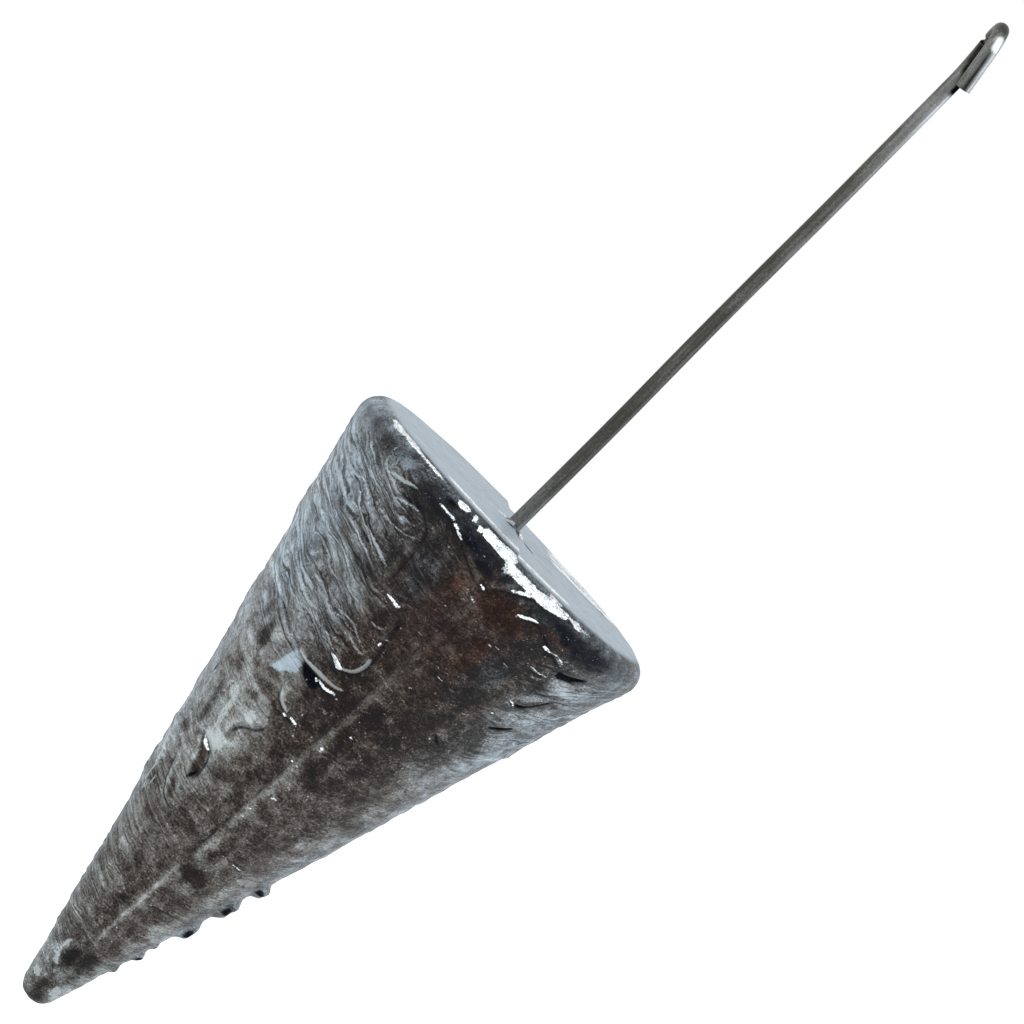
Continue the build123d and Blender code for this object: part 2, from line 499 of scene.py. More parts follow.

# Painted highlights, bright lines where edges catch the light: a line, its half width and how bright it is
GLINTS = [
    ([(-54, 0.25), (-46, 0.25), (-40, 0.24), (-34, 0.22), (-28, 0.2), (-22, 0.18)], 0.13, 0.8),
    ([(-22.3, 1.6), (-20, 1.9), (-17.5, 1.95), (-15, 2)], 0.13, 0.85),
    ([(-15.5, 1.9), (-13, 2.2), (-10.5, 2.6), (-8, 2.95)], 0.17, 1),
    ([(12, 2.85), (14, 2.5), (16, 2.1), (18.5, 1.7), (20, 1.3), (22.5, 0.9)], 0.15, 1),
    ([(4.5, 4.5), (6.5, 4.7), (7.5, 4.5)], 0.13, 1),
    ([(-1, 2.3), (1.5, 2.5), (3, 2.6)], 0.1, 0.7),
    ([(19.5, 4.1), (21.5, 3.85), (23, 3.5), (26, 3.2)], 0.16, 1),
    ([(33, 4.6), (35, 4.65), (37, 4.6)], 0.14, 0.95),
    ([(36, 4.6), (39, 4.4), (42, 4.55), (46.5, 5.1)], 0.09, 0.75),
    ([(36, 2.3), (37.5, 2.6), (39, 2.6)], 0.08, 0.65),
    ([(36, 7), (40, 7), (44, 6.8), (47, 6.4)], 0.08, 0.7),
    ([(38, 8), (42, 7.75), (46, 7.4)], 0.08, 0.62),
    ([(43, 11), (46, 11.15), (48.5, 11.45)], 0.1, 0.8),
    ([(44, 13.3), (45.8, 13.35)], 0.14, 0.8),
    ([(24, 12.6), (27, 12.75)], 0.1, 0.7),
    ([(-14.5, 12.3), (-12, 12.2), (-9, 12.3), (-7, 12.2)], 0.15, 0.85),
    ([(-4, 16), (-3.4, 16.5)], 0.14, 0.9),
    ([(-13.5, 23.45), (-12.5, 23.6), (-11.5, 23.8)], 0.1, 0.95),
    ([(-11.5, 23.4), (-8, 23.55), (-5, 23.45), (-2, 23.1)], 0.12, 1),
    ([(-13.5, 28.25), (-12, 28.4), (-10.3, 28.35)], 0.12, 1),
    ([(-9.2, 28), (-7, 28.15), (-4.5, 28.25)], 0.13, 1),
    ([(10, 28), (12.5, 28.1)], 0.12, 0.9),
    ([(-40, 35.85), (-36, 36.3), (-31, 36.65)], 0.11, 1),
    ([(32, 43), (37, 42.9), (42, 43)], 0.1, 0.8),
    ([(5, 6.1), (8, 6.4)], 0.1, 0.65),
    ([(6, 9), (7.5, 9.1)], 0.1, 0.65),
    ([(18, 8), (20, 8.2)], 0.1, 0.6),
]

# Pale lines where a thin skin of lead wrinkled: a line, its half width and how pale it is
VEINS = [
    ([(-44.5, 0.9), (-45, 2.2), (-44.7, 3.3), (-43, 4)], 0.36, 0.2),
    ([(-60, 0.5), (-60.8, 1.8), (-60.2, 3)], 0.16, 0.3),
    ([(-43, 3.9), (-40, 3.5), (-37, 3.3), (-34, 3.1), (-31, 2.75), (-28.5, 2.6)], 0.4, 0.3),
    ([(-35, 5.1), (-31, 4.6), (-27, 4.2), (-24, 4.1)], 0.2, 0.6),
    ([(-45, 6.4), (-36, 6.9), (-28, 7), (-21, 6.5), (-18.8, 5.9)], 0.25, 0.3),
    ([(-34, 5.7), (-28, 5.9), (-22, 5.4), (-19.5, 5.8)], 0.16, 0.25),
    ([(-78, 5), (-66, 6.1), (-54, 6.5), (-46, 6)], 0.4, 0.2),
    ([(-75, 7.2), (-62, 8), (-50, 9), (-42, 9.2)], 0.5, 0.2),
    ([(-38, 9), (-30, 9.5), (-24, 10), (-20, 10.4)], 0.4, 0.3),
    ([(-20, 13), (-14, 13.3), (-9, 13.3)], 0.14, 0.3),
    ([(-13, 15.2), (-10, 15.3), (-7.5, 15.1), (-5.3, 14.7)], 0.14, 0.6),
    ([(-30, 17.2), (-24, 16.9), (-20, 16.8), (-16.5, 16.8), (-14, 17), (-12, 17.3), (-9.5, 17.6),
      (-6.3, 17.8), (-5, 17.6)], 0.14, 0.6),
    ([(-28, 18.2), (-22.5, 17.3), (-18.5, 17.3), (-16.5, 17.4), (-13.5, 17.3)], 0.13, 0.5),
    ([(-18, 18.2), (-14, 18), (-12, 18.1), (-9.5, 18.3), (-6.5, 18.35), (-5, 18.1)], 0.13, 0.7),
    ([(-64, 15.6), (-52, 17.2), (-44, 18.2), (-36, 18.7), (-30, 18.6)], 0.4, 0.3),
    ([(-50, 19.4), (-40, 19.6), (-30, 19.3), (-22, 19.6), (-14, 20.2)], 0.25, 0.25),
    ([(-8, 20.8), (-5, 20.5), (-3, 20), (-2.2, 19.5), (-1.7, 19), (-1.9, 18.3), (-2.5, 17.9)], 0.3, 1),
    ([(-25, 19.3), (-20.5, 19.5), (-18, 19.8), (-15.5, 20), (-13.5, 20.1)], 0.16, 0.6),
    ([(-24, 19.9), (-20.3, 20.1), (-17.5, 20.3), (-15.5, 20.45)], 0.13, 0.6),
    ([(-1.2, 19.5), (1.2, 20)], 0.1, 0.5),
    ([(-1.3, 16), (-0.4, 16.8), (0.3, 17.4)], 0.1, 0.4),
    ([(0.6, 17.6), (3, 17.9), (5, 18.3)], 0.1, 0.3),
    ([(-4.2, 11.9), (-3, 12.5), (-2.4, 13.2)], 0.2, 0.3),
    ([(-27, 22.6), (-21, 22.85), (-15, 22.8), (-9, 22.75), (-4, 22.6), (0, 22.2)], 0.26, 1),
    ([(-21.5, 26.3), (-19.5, 27), (-17, 27.55), (-14, 27.8), (-11, 27.9)], 0.26, 0.9),
    ([(-17.5, 29.7), (-15.5, 30.5), (-16, 31.3)], 0.16, 0.5),
    ([(-31.3, 36.7), (-29, 37.2), (-28, 37.9)], 0.15, 0.7),
    ([(-46.5, 40), (-45, 41.2), (-42, 42.2), (-38, 42.9), (-33, 43.2)], 0.2, 0.7),
    ([(-74, 36.2), (-67, 38.8), (-64, 40.5), (-62.5, 42.5), (-63, 45)], 0.6, 0.3),
    ([(-66, 34.6), (-60, 35.6), (-54, 36), (-50, 36.7), (-48, 37.4)], 0.3, 0.2),
    ([(-43, 35.4), (-46, 35.7), (-50, 35.6), (-54, 35.7)], 0.25, 0.2),
    ([(-62, 37.6), (-56, 37.8), (-51, 37.6)], 0.2, 0.15),
    ([(-43, 29.9), (-39, 30.3), (-38, 31.5), (-38, 32.6), (-37, 33.8), (-37, 35)], 0.7, 0.15),
    ([(-48, 30.9), (-45.5, 30.1), (-41, 29.9)], 0.3, 0.25),
    ([(-70, 28.6), (-66, 30.5), (-62, 32.6), (-61, 34.4)], 0.4, 0.15),
    ([(-54, 42), (-54, 43.2), (-53, 44.5)], 0.3, 0.2),
    ([(-58, 46.5), (-46, 47.5), (-36, 48.1), (-28, 48.3)], 0.2, 0.3),
    ([(-44, 46.9), (-36, 47.3), (-28, 47.6)], 0.18, 0.25),
    ([(-54, 49.3), (-42, 50.3), (-30, 50.7)], 0.2, 0.25),
    ([(-56, 53.2), (-44, 53.4), (-32, 53.8), (-24, 53.9)], 0.2, 0.3),
    ([(-42, 55.2), (-32, 55.7), (-20, 55.7)], 0.25, 0.2),
    ([(-46, 57.9), (-36, 58.3), (-24, 58.1)], 0.2, 0.25),
    ([(1, 5.8), (4, 6), (6, 6.3)], 0.12, 0.4),
    ([(0, 20.3), (3, 20.9), (6, 21)], 0.2, 0.3),
    ([(36, 4.5), (41, 4.7), (46, 5.2)], 0.16, 0.5),
    ([(34, 7), (39, 7.1), (45, 6.7)], 0.12, 0.5),
    ([(37, 7.9), (42, 7.6), (46, 7)], 0.12, 0.4),
    ([(41, 9), (45, 9.3)], 0.14, 0.35),
    ([(42, 11.4), (47, 11.5)], 0.14, 0.4),
    ([(0, 18), (7, 18.6), (16, 18.8)], 0.25, 0.2),
    ([(9, 20.6), (12, 20.4), (16, 20.6)], 0.25, 0.3),
    ([(24.5, 42.9), (27, 43.1), (30, 43.3)], 0.22, 0.35),
    ([(28.5, 44.2), (31, 44.8), (35, 45.6)], 0.2, 0.4),
    ([(16, 47.7), (21, 47.8), (27, 47.8)], 0.16, 0.35),
    ([(12, 52.2), (19, 51.6), (28, 51.3), (40, 51), (52, 50.6)], 0.16, 0.3),
    ([(34, 49.6), (46, 49.2), (58, 48.8)], 0.2, 0.2),
    ([(36, 57.2), (50, 57)], 0.3, 0.25),
]

# Clefts, sunk and darkened with painted shade: a line, its half width, how deep it is and how dark
CLEFTS = [
    ([(-35, 4.8), (-31, 4.2), (-26, 3.85), (-20, 4.3)], 0.13, 0.1, 0.7),
    ([(-8, 12.5), (-5, 13.1), (-3.8, 14), (-3.4, 15.2)], 0.16, 0.15, 0.85),
    ([(-18, 21.1), (-10, 21.6), (-4, 21.4)], 0.2, 0.1, 0.6),
    ([(-10, 23.75), (-6, 23.8), (-3, 23.55)], 0.14, 0.1, 0.8),
    ([(-42, 35.5), (-40, 36.1), (-36, 36.8), (-34, 37.1)], 0.12, 0.15, 0.9),
    ([(-28, 22.5), (-29.3, 23.8), (-31, 25)], 0.1, 0.05, 0.65),
    ([(-72, 5.9), (-64, 6.6), (-56, 7), (-50, 6.9)], 0.1, 0.08, 0.65),
    ([(-63, 8.5), (-56, 9.3), (-50, 10.1), (-44, 10.3), (-38, 10.6)], 0.12, 0.1, 0.7),
    ([(-37.5, 9.7), (-34, 10), (-31, 10.1)], 0.16, 0.12, 0.9),
    ([(-45, 12.6), (-40, 13.3), (-33, 13.7), (-27, 14.3), (-20, 14.5)], 0.1, 0.08, 0.62),
    ([(-60, 12.5), (-52, 13.2), (-46, 13.5)], 0.1, 0.08, 0.6),
    ([(-36, 14.8), (-31, 15.2), (-25, 16)], 0.12, 0.08, 0.65),
    ([(-28, 16.4), (-22, 16.2), (-14, 16.5), (-8, 16.8)], 0.12, 0.08, 0.65),
    ([(-64, 17.8), (-56, 18.4), (-50, 19.6), (-44, 20.2)], 0.1, 0.08, 0.62),
    ([(-52, 20.6), (-45, 21.1), (-38, 21.9), (-34, 22.4)], 0.13, 0.08, 0.8),
    ([(-49, 21.6), (-43, 22.3), (-40, 22.9)], 0.1, 0.08, 0.65),
    ([(-70, 20.3), (-62, 21.2), (-55, 21.8)], 0.12, 0.08, 0.6),
    ([(-66, 27), (-64, 29.5), (-65, 31.5), (-63, 33)], 0.16, 0.1, 0.65),
    ([(44.5, 8.45), (48, 8.05), (52, 7.65), (56, 7.2)], 0.1, 0.15, 0.85),
    ([(36, 7.25), (40, 7.3), (44, 7.1), (47, 6.7)], 0.12, 0.1, 0.75),
    ([(38, 8.3), (42, 8), (46, 7.7)], 0.12, 0.1, 0.7),
    ([(56, 25.1), (59, 25.5), (63, 25.8)], 0.12, 0.1, 0.7),
    ([(34, 5.4), (38, 4.9), (43, 5.2)], 0.13, 0.1, 0.8),
    ([(58.5, 5.4), (61, 5.6), (62, 6.2), (60.5, 6.9), (58, 7)], 0.1, 0.05, 0.5),
    ([(55, 12), (58, 11.5), (62, 10.4), (65, 9.6)], 0.1, 0.05, 0.5),
    ([(57, 16), (61, 15.2), (66, 14.2)], 0.1, 0.05, 0.5),
    ([(60, 19.5), (64, 18.6), (69, 17.6)], 0.1, 0.05, 0.5),
    ([(57, 21.6), (62, 20.8), (67, 20)], 0.1, 0.05, 0.5),
    ([(26, 3.4), (30, 3.6), (34, 3.7), (37, 4.3)], 0.08, 0.05, 0.5),
    ([(-14, 30), (-16.5, 31.3), (-20, 31.6), (-24, 31.9), (-26.5, 32.4), (-27.5, 33)], 0.13, 0.1, 0.56),
]

# Areas with a clear edge: their corners, and what marks them
AREAS = [
    # Painted reflection: the bright band on the rim, from the left to the right
    ([(-54, -0.1), (-47, -0.2), (-42, -0.3), (-38, -0.4), (-37, 0.1), (-42, 0.3), (-48, 0.5),
      (-53, 0.4)], dict(bare=0.6)),
    ([(-17, 0.3), (-12.8, 0.2), (-12.3, 0.55), (-14.5, 0.85), (-16.5, 0.75)], dict(bare=0.8)),
    ([(-10.8, 0.2), (-9.3, 0.2), (-9, 0.7), (-10, 0.85)], dict(bare=0.85)),
    ([(-7.8, 0.55), (-6, 0.6), (-6, 1.1), (-7.2, 1.05)], dict(bare=0.85)),
    ([(-5.5, 0.2), (0, 0.2), (6.8, 0.1), (6.9, 1), (3, 1.15), (0, 1.05), (-5, 0.95)], dict(bare=1)),
    ([(4.5, 1.2), (7, 1.1), (8.5, 1.6), (8.5, 2.3), (6, 2.2), (5, 1.8)], dict(bare=0.45)),
    ([(7.3, 0.95), (12, 1), (16, 0.95), (18, 1.1), (20, 0.9), (24, 0.75), (29.5, 0.7), (30.5, 1.1),
      (27, 1.5), (22, 1.75), (18.5, 1.75), (17, 1.65), (13, 1.8), (9, 1.75), (7.5, 1.5)], dict(bare=1)),
    ([(20.8, 0.3), (23, 0.35), (26, 0.4), (26, 0.65), (22.5, 0.65), (21, 0.6)], dict(bare=0.8)),
    ([(28.5, 0.55), (34, 0.6), (38, 0.75), (44, 0.85), (41, 1), (38, 1.05), (35, 1.2), (32, 1),
      (29, 1)], dict(bare=0.62)),
    # Painted dark reflection under the rim
    ([(-28, 1.3), (-22, 1.5), (-15, 1.2), (-8, 1.1), (-1, 1.2), (5, 1.5), (4, 2.6), (-4, 3.4),
      (-14, 3.2), (-22, 2.9), (-28, 2.4)], dict(soot=0.42)),
    ([(-20.5, 0.9), (-17.5, 0.8), (-15.5, 1), (-16, 1.35), (-18.5, 1.4), (-20.5, 1.25)],
     dict(soot=0.8)),
    ([(28, 1.75), (33, 1.5), (36, 1.8), (40, 1.4), (44, 1.6), (47, 1.1), (50, 1.6), (53, 1.4), (58, 2),
      (56, 2.4), (59, 2.8), (55, 3.1), (52, 3.7), (48, 3.3), (44, 3.9), (40, 3.2), (36, 3.4), (33, 2.6),
      (30, 2.6)], dict(soot=0.45)),
    # Lobe with a painted highlight, a bright crescent, at its foot
    ([(-15.4, 20.5), (-12.8, 20.35), (-10.5, 20.5), (-8, 20.65), (-7.2, 20.95), (-9.3, 21.2), (-11, 21),
      (-13.5, 20.7)], dict(bare=1)),
    ([(-14, 18.8), (-8, 18.7), (-4.6, 18.3), (-3.2, 19), (-4, 19.9), (-7, 20.3), (-11, 20)],
     dict(light=-0.15, rust=0.3)),
    # Painted shade: a black lens under the largest fold; and the pale facet beside it
    ([(-21.8, 23.3), (-17, 23.25), (-12, 23.4), (-9.5, 23.8), (-9.8, 24.3), (-11.5, 24.6), (-15, 24.5),
      (-18.5, 24.1)], dict(soot=1, rise=-0.2)),
    ([(-28.5, 22.9), (-22, 23.35), (-20.5, 24.1), (-20, 24.6), (-23.5, 25.1), (-27, 25.7), (-33, 26.2),
      (-31, 25), (-29.7, 24)], dict(pale=0.56, light=0.12, cool=1)),
    ([(-30, 21.9), (-27.5, 21.8), (-26, 22.3), (-27, 22.7), (-29.5, 22.5)], dict(light=-0.25)),
    ([(-48, 23.6), (-45, 23), (-42.5, 24.4), (-42, 25.3), (-45, 25.3), (-48, 24.4)], dict(light=-0.25)),
    # Brown hollow below it
    ([(-20.5, 28), (-17, 28.35), (-14, 28.55), (-14.5, 28.95), (-17, 28.9), (-19.5, 28.5)],
     dict(rust=0.6, light=-0.3)),
    # Hollows of the lower left, painted darker as shade, and pale skins there
    ([(-52, 31), (-50, 30.9), (-47.5, 32.2), (-46.5, 33.6), (-48, 35.2), (-50.5, 34.9), (-52.5, 33.4)],
     dict(light=-0.34, cool=0.5)),
    ([(-62, 36.3), (-58, 36.1), (-54.5, 36.6), (-54, 37.1), (-57, 37.4), (-61, 37)],
     dict(light=-0.34, cool=0.4)),
    ([(-47, 36), (-44, 35.9), (-43, 36.3), (-45, 36.7), (-47, 36.5)], dict(light=-0.35, rust=0.3)),
    ([(-43, 35.3), (-37, 35), (-30, 34.7), (-25, 35), (-25.5, 35.7), (-30, 36.3), (-34, 36.2),
      (-40, 35.7)], dict(light=0.12, pale=0.5)),
    ([(-27, 30.4), (-24, 30.2), (-21, 30.6), (-20.5, 31.2), (-23, 31.7), (-26.5, 31.5)],
     dict(light=0.12, pale=0.5)),
    ([(-40, 29.6), (-37, 30), (-35, 31.5), (-33, 33), (-34, 34.6), (-38, 34.6), (-39, 32.6), (-41, 31)],
     dict(pale=0.4)),
    ([(-44, 22.6), (-40, 22.4), (-37, 23.2), (-38, 24.4), (-41, 24.4), (-43, 23.6)], dict(pale=0.4)),
    ([(-72, 22), (-66, 23), (-62, 25), (-62, 27), (-66, 27), (-70, 25)], dict(pale=0.38)),
    ([(-46, 30.2), (-42, 29.9), (-39.5, 30.3), (-42, 30.7), (-45, 30.9)], dict(pale=0.5)),
    ([(-33, 37.6), (-34.5, 38.6), (-35, 39.6), (-40, 39.8), (-39, 38.8), (-37.5, 37.8)],
     dict(pale=0.4)),
    # Brown crescent, stained and darkened with painted shade, black with painted shade at its end, and a
    # brown lens below it
    ([(-37, 36.6), (-31.5, 36.8), (-28.5, 37.4), (-27.2, 38.2), (-27.4, 39.2), (-31, 40), (-32.5, 39.2),
      (-33.3, 38.5), (-34.5, 37.6), (-37, 37)], dict(rust=0.55, light=-0.55, rise=-0.2)),
    ([(-27.6, 38.7), (-28.2, 39.4), (-31.8, 40), (-30.5, 39.3)], dict(soot=1)),
    ([(-41, 40.8), (-36, 41.2), (-32, 42.2), (-31, 42.7), (-34, 42.8), (-38, 42)],
     dict(rust=0.5, light=-0.3)),
    # Clefts of the right flank, sunk and black with painted shade, and pale tongues between them
    ([(47.5, 6.5), (52, 6), (58, 5), (64, 4.6), (70, 6), (64, 7.6), (58, 7.6), (53, 8.2), (48, 7.9)],
     dict(light=0.08, pale=0.39)),
    ([(46, 9.4), (50, 8.5), (55, 8), (56, 8.8), (53, 9.8), (49.5, 10.5), (46.5, 10.6)],
     dict(light=0.08, pale=0.39)),
    ([(49.5, 11.7), (54, 11), (58, 9.6), (63, 9), (66, 11), (61, 12.7), (56, 13.1), (51, 13.9),
      (49.5, 12.8)], dict(light=0.08, pale=0.39)),
    ([(51.5, 15.1), (57, 14.7), (62, 13.6), (67, 14), (65, 17), (58, 16.8), (54, 16)],
     dict(light=0.08, pale=0.39)),
    ([(58, 5.5), (60, 5.6), (60.5, 6.2), (58.5, 6.3)], dict(light=-0.3)),
    ([(62.5, 7), (64.5, 7.2), (64, 8), (62.5, 7.9)], dict(light=-0.25)),
    ([(59.5, 8.3), (62, 8.5), (61.5, 9.2), (59.5, 9.1)], dict(light=-0.25)),
    ([(46, 5.5), (49, 5.4), (53, 5), (57.5, 4.4), (56, 5), (53, 5.6), (49, 6.1), (46.5, 6.1)],
     dict(soot=1, rise=-0.3)),
    ([(47.8, 11), (49.5, 10.9), (52, 10.5), (54.5, 9.75), (57, 8.7), (58.5, 8.2), (57.3, 9), (55, 9.95),
      (52.5, 10.75), (50, 11.25), (48.2, 11.3)], dict(soot=0.9, rise=-0.25)),
    ([(50.8, 14.7), (53, 14.3), (56, 13.75), (59.5, 13.1), (59.3, 13.5), (57, 14.1), (54, 14.6),
      (51.5, 14.85)], dict(soot=0.9, rise=-0.25)),
    ([(37.5, 18.8), (41, 19.1), (45, 19.6), (43, 19.7), (40, 19.4)], dict(soot=0.7, rise=-0.15)),
    ([(39, 18.1), (42, 17.9), (46, 18.7), (45, 19.1), (42, 18.9)], dict(pale=0.4)),
    # Near the point
    ([(8.6, 46.2), (18, 45.9), (30, 45.6), (35, 46), (34.5, 47.1), (27, 47.5), (11, 46.9)],
     dict(rust=0.35, light=-0.25)),
    ([(-18, 61.6), (-6, 60.5), (7, 60.5), (11, 61.8), (1.5, 62.9), (-9, 62.4)], dict(light=-0.38)),
    ([(-27, 60.1), (-14.8, 60), (-18.5, 61.6), (-5, 63), (-25, 62.7)], dict(pale=0.56)),
    ([(-53, 64.3), (-24, 64.5), (-20, 65.4), (-47, 65.2)], dict(pale=0.56)),
    ([(23, 64.3), (49, 64.5), (53, 65.9), (24, 65.6)], dict(pale=0.55)),
    ([(-9, 64.9), (8, 64.7), (24, 67), (-12, 66.9)], dict(light=-0.25)),
    ([(16.8, 59), (40.3, 59.5), (43.1, 61.4), (32.3, 63.8), (16.5, 61.3)], dict(light=-0.15)),
]

# Drops and specks around the wire on the flat top, with painted highlights on the drops and painted shade
# beside them: x, y, radius, rise and what marks them
SPOTS = [
    (-1.8, -0.5, 0.4, 0.15, dict(bare=1)), (-0.7, -1.3, 0.4, 0.1, dict(bare=1)),
    (1.1, -0.9, 0.4, 0.2, dict(bare=1)), (1.9, -0.9, 0.35, 0, dict(soot=0.9)),
    (2.7, -1.7, 0.4, 0, dict(soot=0.8)), (-0.4, -2.1, 0.5, 0, dict(soot=0.7)),
    (12.5, 8.5, 0.5, 0, dict(soot=0.8)),
]

# Painted shade in hollows: azimuth, depth, half width in degrees, half height and how dark
HOLLOW_SHADE = [
    (-6, 2.4, 6, 0.6, 0.6), (2, 3.2, 5, 0.7, 0.5), (-3, 25.4, 8, 1.2, 0.25), (14, 25.2, 4, 0.7, 0.32),
    (20, 31.3, 5, 0.8, 0.22),
]

# Patches: azimuth, depth, half width in degrees, half height, and how much they lighten or darken
PATCHES = [
    (-40, 26.8, 3, 0.6, -0.22), (-30.5, 26.4, 4, 0.5, -0.25), (-48, 28.2, 4, 0.7, -0.25),
    (-28, 27.9, 5, 0.6, -0.2), (-34.5, 29.5, 2, 0.4, -0.22), (-29.5, 29.4, 2.5, 0.4, -0.28),
    (-26.5, 33.6, 2, 0.8, -0.25), (-47, 25.2, 3, 0.9, -0.2), (36, 3.8, 16, 1.2, -0.1),
    (44, 7.5, 6, 2.5, -0.08), (8, 9, 13, 6, 0.05), (2, 27.5, 12, 3, -0.06), (4, 22.5, 14, 2.5, -0.06),
    (-14, 22.3, 8, 1.6, -0.1), (-29, 25.6, 2.5, 0.8, 0.15), (-40, 30.4, 9, 1.6, 0.1),
    (-26, 30.3, 5, 2, 0.08), (-31, 34.9, 8, 0.9, 0.15), (-45, 24.2, 4, 1.2, -0.25),
    (-53, 22.4, 2.5, 0.8, -0.22), (30, 9, 11, 8, -0.06), (30, 24, 11, 5, -0.06), (10, 25, 12, 5, -0.05),
    (-70, 17, 12, 3, 0.08), (-70, 35, 12, 6, 0.05), (-52, 42, 6, 2.4, -0.2), (-41, 44.4, 8, 1.2, -0.16),
    (-28, 26.3, 4, 0.4, -0.25), (-49, 28.3, 3, 0.5, -0.25), (-42, 11.5, 4, 0.9, -0.2),
    (-27, 5.5, 7, 1, -0.12), (-33, 8.3, 9, 0.9, -0.16), (-31, 12.2, 8, 1.3, -0.12),
    (-45, 21, 8, 1.2, -0.14), (-55, 1.7, 8, 1, -0.25), (-48.5, 2.3, 3.5, 1, -0.25),
    (-37, 1.7, 2.5, 0.6, 0.2), (-69, 1.6, 3, 0.7, -0.2), (-26, 3.1, 7, 0.9, -0.25),
    (33, 10.3, 7, 2.2, 0.12), (43, 10.5, 3, 3, 0.1), (44, 14.8, 3, 1.5, 0.12),
    (14.5, 25.2, 4.5, 0.9, -0.2), (20, 31.3, 5.5, 1.1, -0.18), (20.5, 42.8, 4, 2, -0.16),
    (5, 23.2, 10, 1.6, -0.12), (24, 21.5, 12, 1.4, -0.1), (9, 17.5, 7, 3, 0.07), (32, 5, 9, 3, -0.12),
    (-33, 1.6, 7, 0.8, 0.12), (21, 46.8, 11, 0.55, -0.2), (-1, 48.4, 6, 0.5, -0.2),
    (-10, 49.8, 10, 1.6, -0.14), (-8, 55, 10, 2.5, -0.14), (-4, 31.5, 5, 1.2, -0.14),
    (-2, 35, 3.5, 1.2, -0.14), (-18, 37, 5, 1, -0.12), (-18, 43.8, 7, 1.2, -0.12),
    (9.7, 24, 1.8, 3.2, 0.24), (12, 28.5, 3.5, 1.3, 0.16), (11, 36, 4, 6, 0.14), (12, 43.6, 4, 2, 0.22),
    (-24, 61.4, 8, 0.8, 0.2), (-50, 56, 14, 6, -0.1), (25, 60, 9, 1.2, -0.15),
    (50, 61.2, 10, 0.5, -0.15), (52, 6.8, 5, 0.9, 0.2), (60, 31.8, 12, 1, -0.2),
    (48, 35.5, 10, 1.2, -0.15), (58, 17.4, 6, 1.4, -0.18), (40, 18.2, 3.5, 0.5, 0.25),
    (-44.3, 30.6, 1.2, 0.35, -0.5), (52, 36.8, 4, 1, 0.15), (47, 53.3, 8, 0.8, 0.15),
    (40, 55.4, 5, 0.6, -0.12),
]

# Brown stain: azimuth, depth, half width in degrees, half height and strength
STAINS = [
    (8, 12, 28, 10, 0.5), (4, 24, 22, 5, 0.3), (8, 9, 16, 5, 0.3), (15, 5.5, 10, 2, 1),
    (20, 10.5, 5, 3, 0.85), (10, 11, 3, 5, 0.8), (0, 8, 5, 4, 0.8), (-2, 13.5, 4, 3, 0.6),
    (12, 16, 7, 3, 0.45), (33, 3.4, 8, 0.5, 0.5), (-17.3, 9, 1, 2.6, 0.7), (21, 46.8, 11, 0.5, 0.35),
    (-42, 11.6, 3.5, 0.8, 0.4), (-30, 38.4, 2.5, 0.9, 0.6), (0, 28.5, 8, 2, 0.35),
    (13, 25.2, 4, 0.8, 0.5), (-24, 29, 6, 2.5, 0.3), (-3, 40.6, 3, 0.8, 0.4), (-5, 32, 4, 1.2, 0.35),
    (-32, 14.5, 5, 0.8, 0.3),
]

# Drops and lumps at the sides: azimuth, depth, half width in degrees, half height and rise
DROPLETS = [
    (88, 43.3, 9, 0.9, 0.75), (88, 47, 10, 1.5, 0.75), (88, 51.3, 11, 1.4, 0.75),
    (88, 54.9, 9, 0.6, 0.35), (88, 56.7, 11, 0.8, 0.55), (87, 59.4, 12, 0.6, 0.35),
    (-86, 42.6, 8, 1, 0.4), (-86, 37.2, 9, 0.6, 0.2), (-88, 33.2, 9, 0.5, 0.1),
    (-88, 23.5, 9, 2.2, 0.25), (-88, 13, 8, 2, 0.2), (88, 2, 30, 3.5, 0.2), (86, 36, 16, 6, 0.15),
]

# Waves in which the lead froze, and the finer wrinkles on them: the distance from one to the next
WAVE_PITCH = 2.4
WRINKLE_PITCH = 0.55

# Small marks at random places: how many, and the seed that they are drawn from
FINE_FOLD_COUNT = 300
FINE_FOLD_SEED = 5
SMALL_GLINT_COUNT = 240
SMALL_GLINT_SEED = 11
SCUFF_COUNT = 150
SCUFF_SEED = 23

# Turns from the front seam between which no random folds lie, because FOLDS gives them there
DRAWN_TURNS = (-26, 50)

# How much lower the marks of the back are than those of the front
BACK_DROP = 2.4

# Drawn lines: the least half width that the points of the mesh can show, and how far they rise
LEAST_VEIN = 0.14
LEAST_CLEFT = 0.12
LEAST_GLINT = 0.1
VEIN_RISE = 0.06
GLINT_RISE = 0.08


def fine_folds(skin):
    """Many short folds all round, sagging towards the seams, as the lead rose in the mould in waves."""
    draw = np.random.default_rng(FINE_FOLD_SEED)
    for _ in range(FINE_FOLD_COUNT):
        azimuth = draw.uniform(-180, 180)
        depth = draw.uniform(3.5, 60)
        length = draw.uniform(3.5, 12)
        height = draw.uniform(0.03, 0.1)
        from_seam = wrapped(azimuth - SEAM_AZIMUTH)
        sag = draw.normal(0.25, 0.1) * (-1 if from_seam > 0 else 1)
        wave = draw.normal(0, 0.2, 5)
        if DRAWN_TURNS[0] < from_seam < DRAWN_TURNS[1]:
            continue
        radius = float(side_radius(depth))
        turns = np.degrees(np.linspace(-0.5, 0.5, len(wave)) * length / radius)
        line = [(azimuth + t, depth + np.radians(t) * radius * sag + w) for t, w in zip(turns, wave)]
        skin.fold(line, height, roll=1.2, lip=0.3, pale=draw.uniform(0, 0.2), soot=draw.uniform(0.05, 0.34))


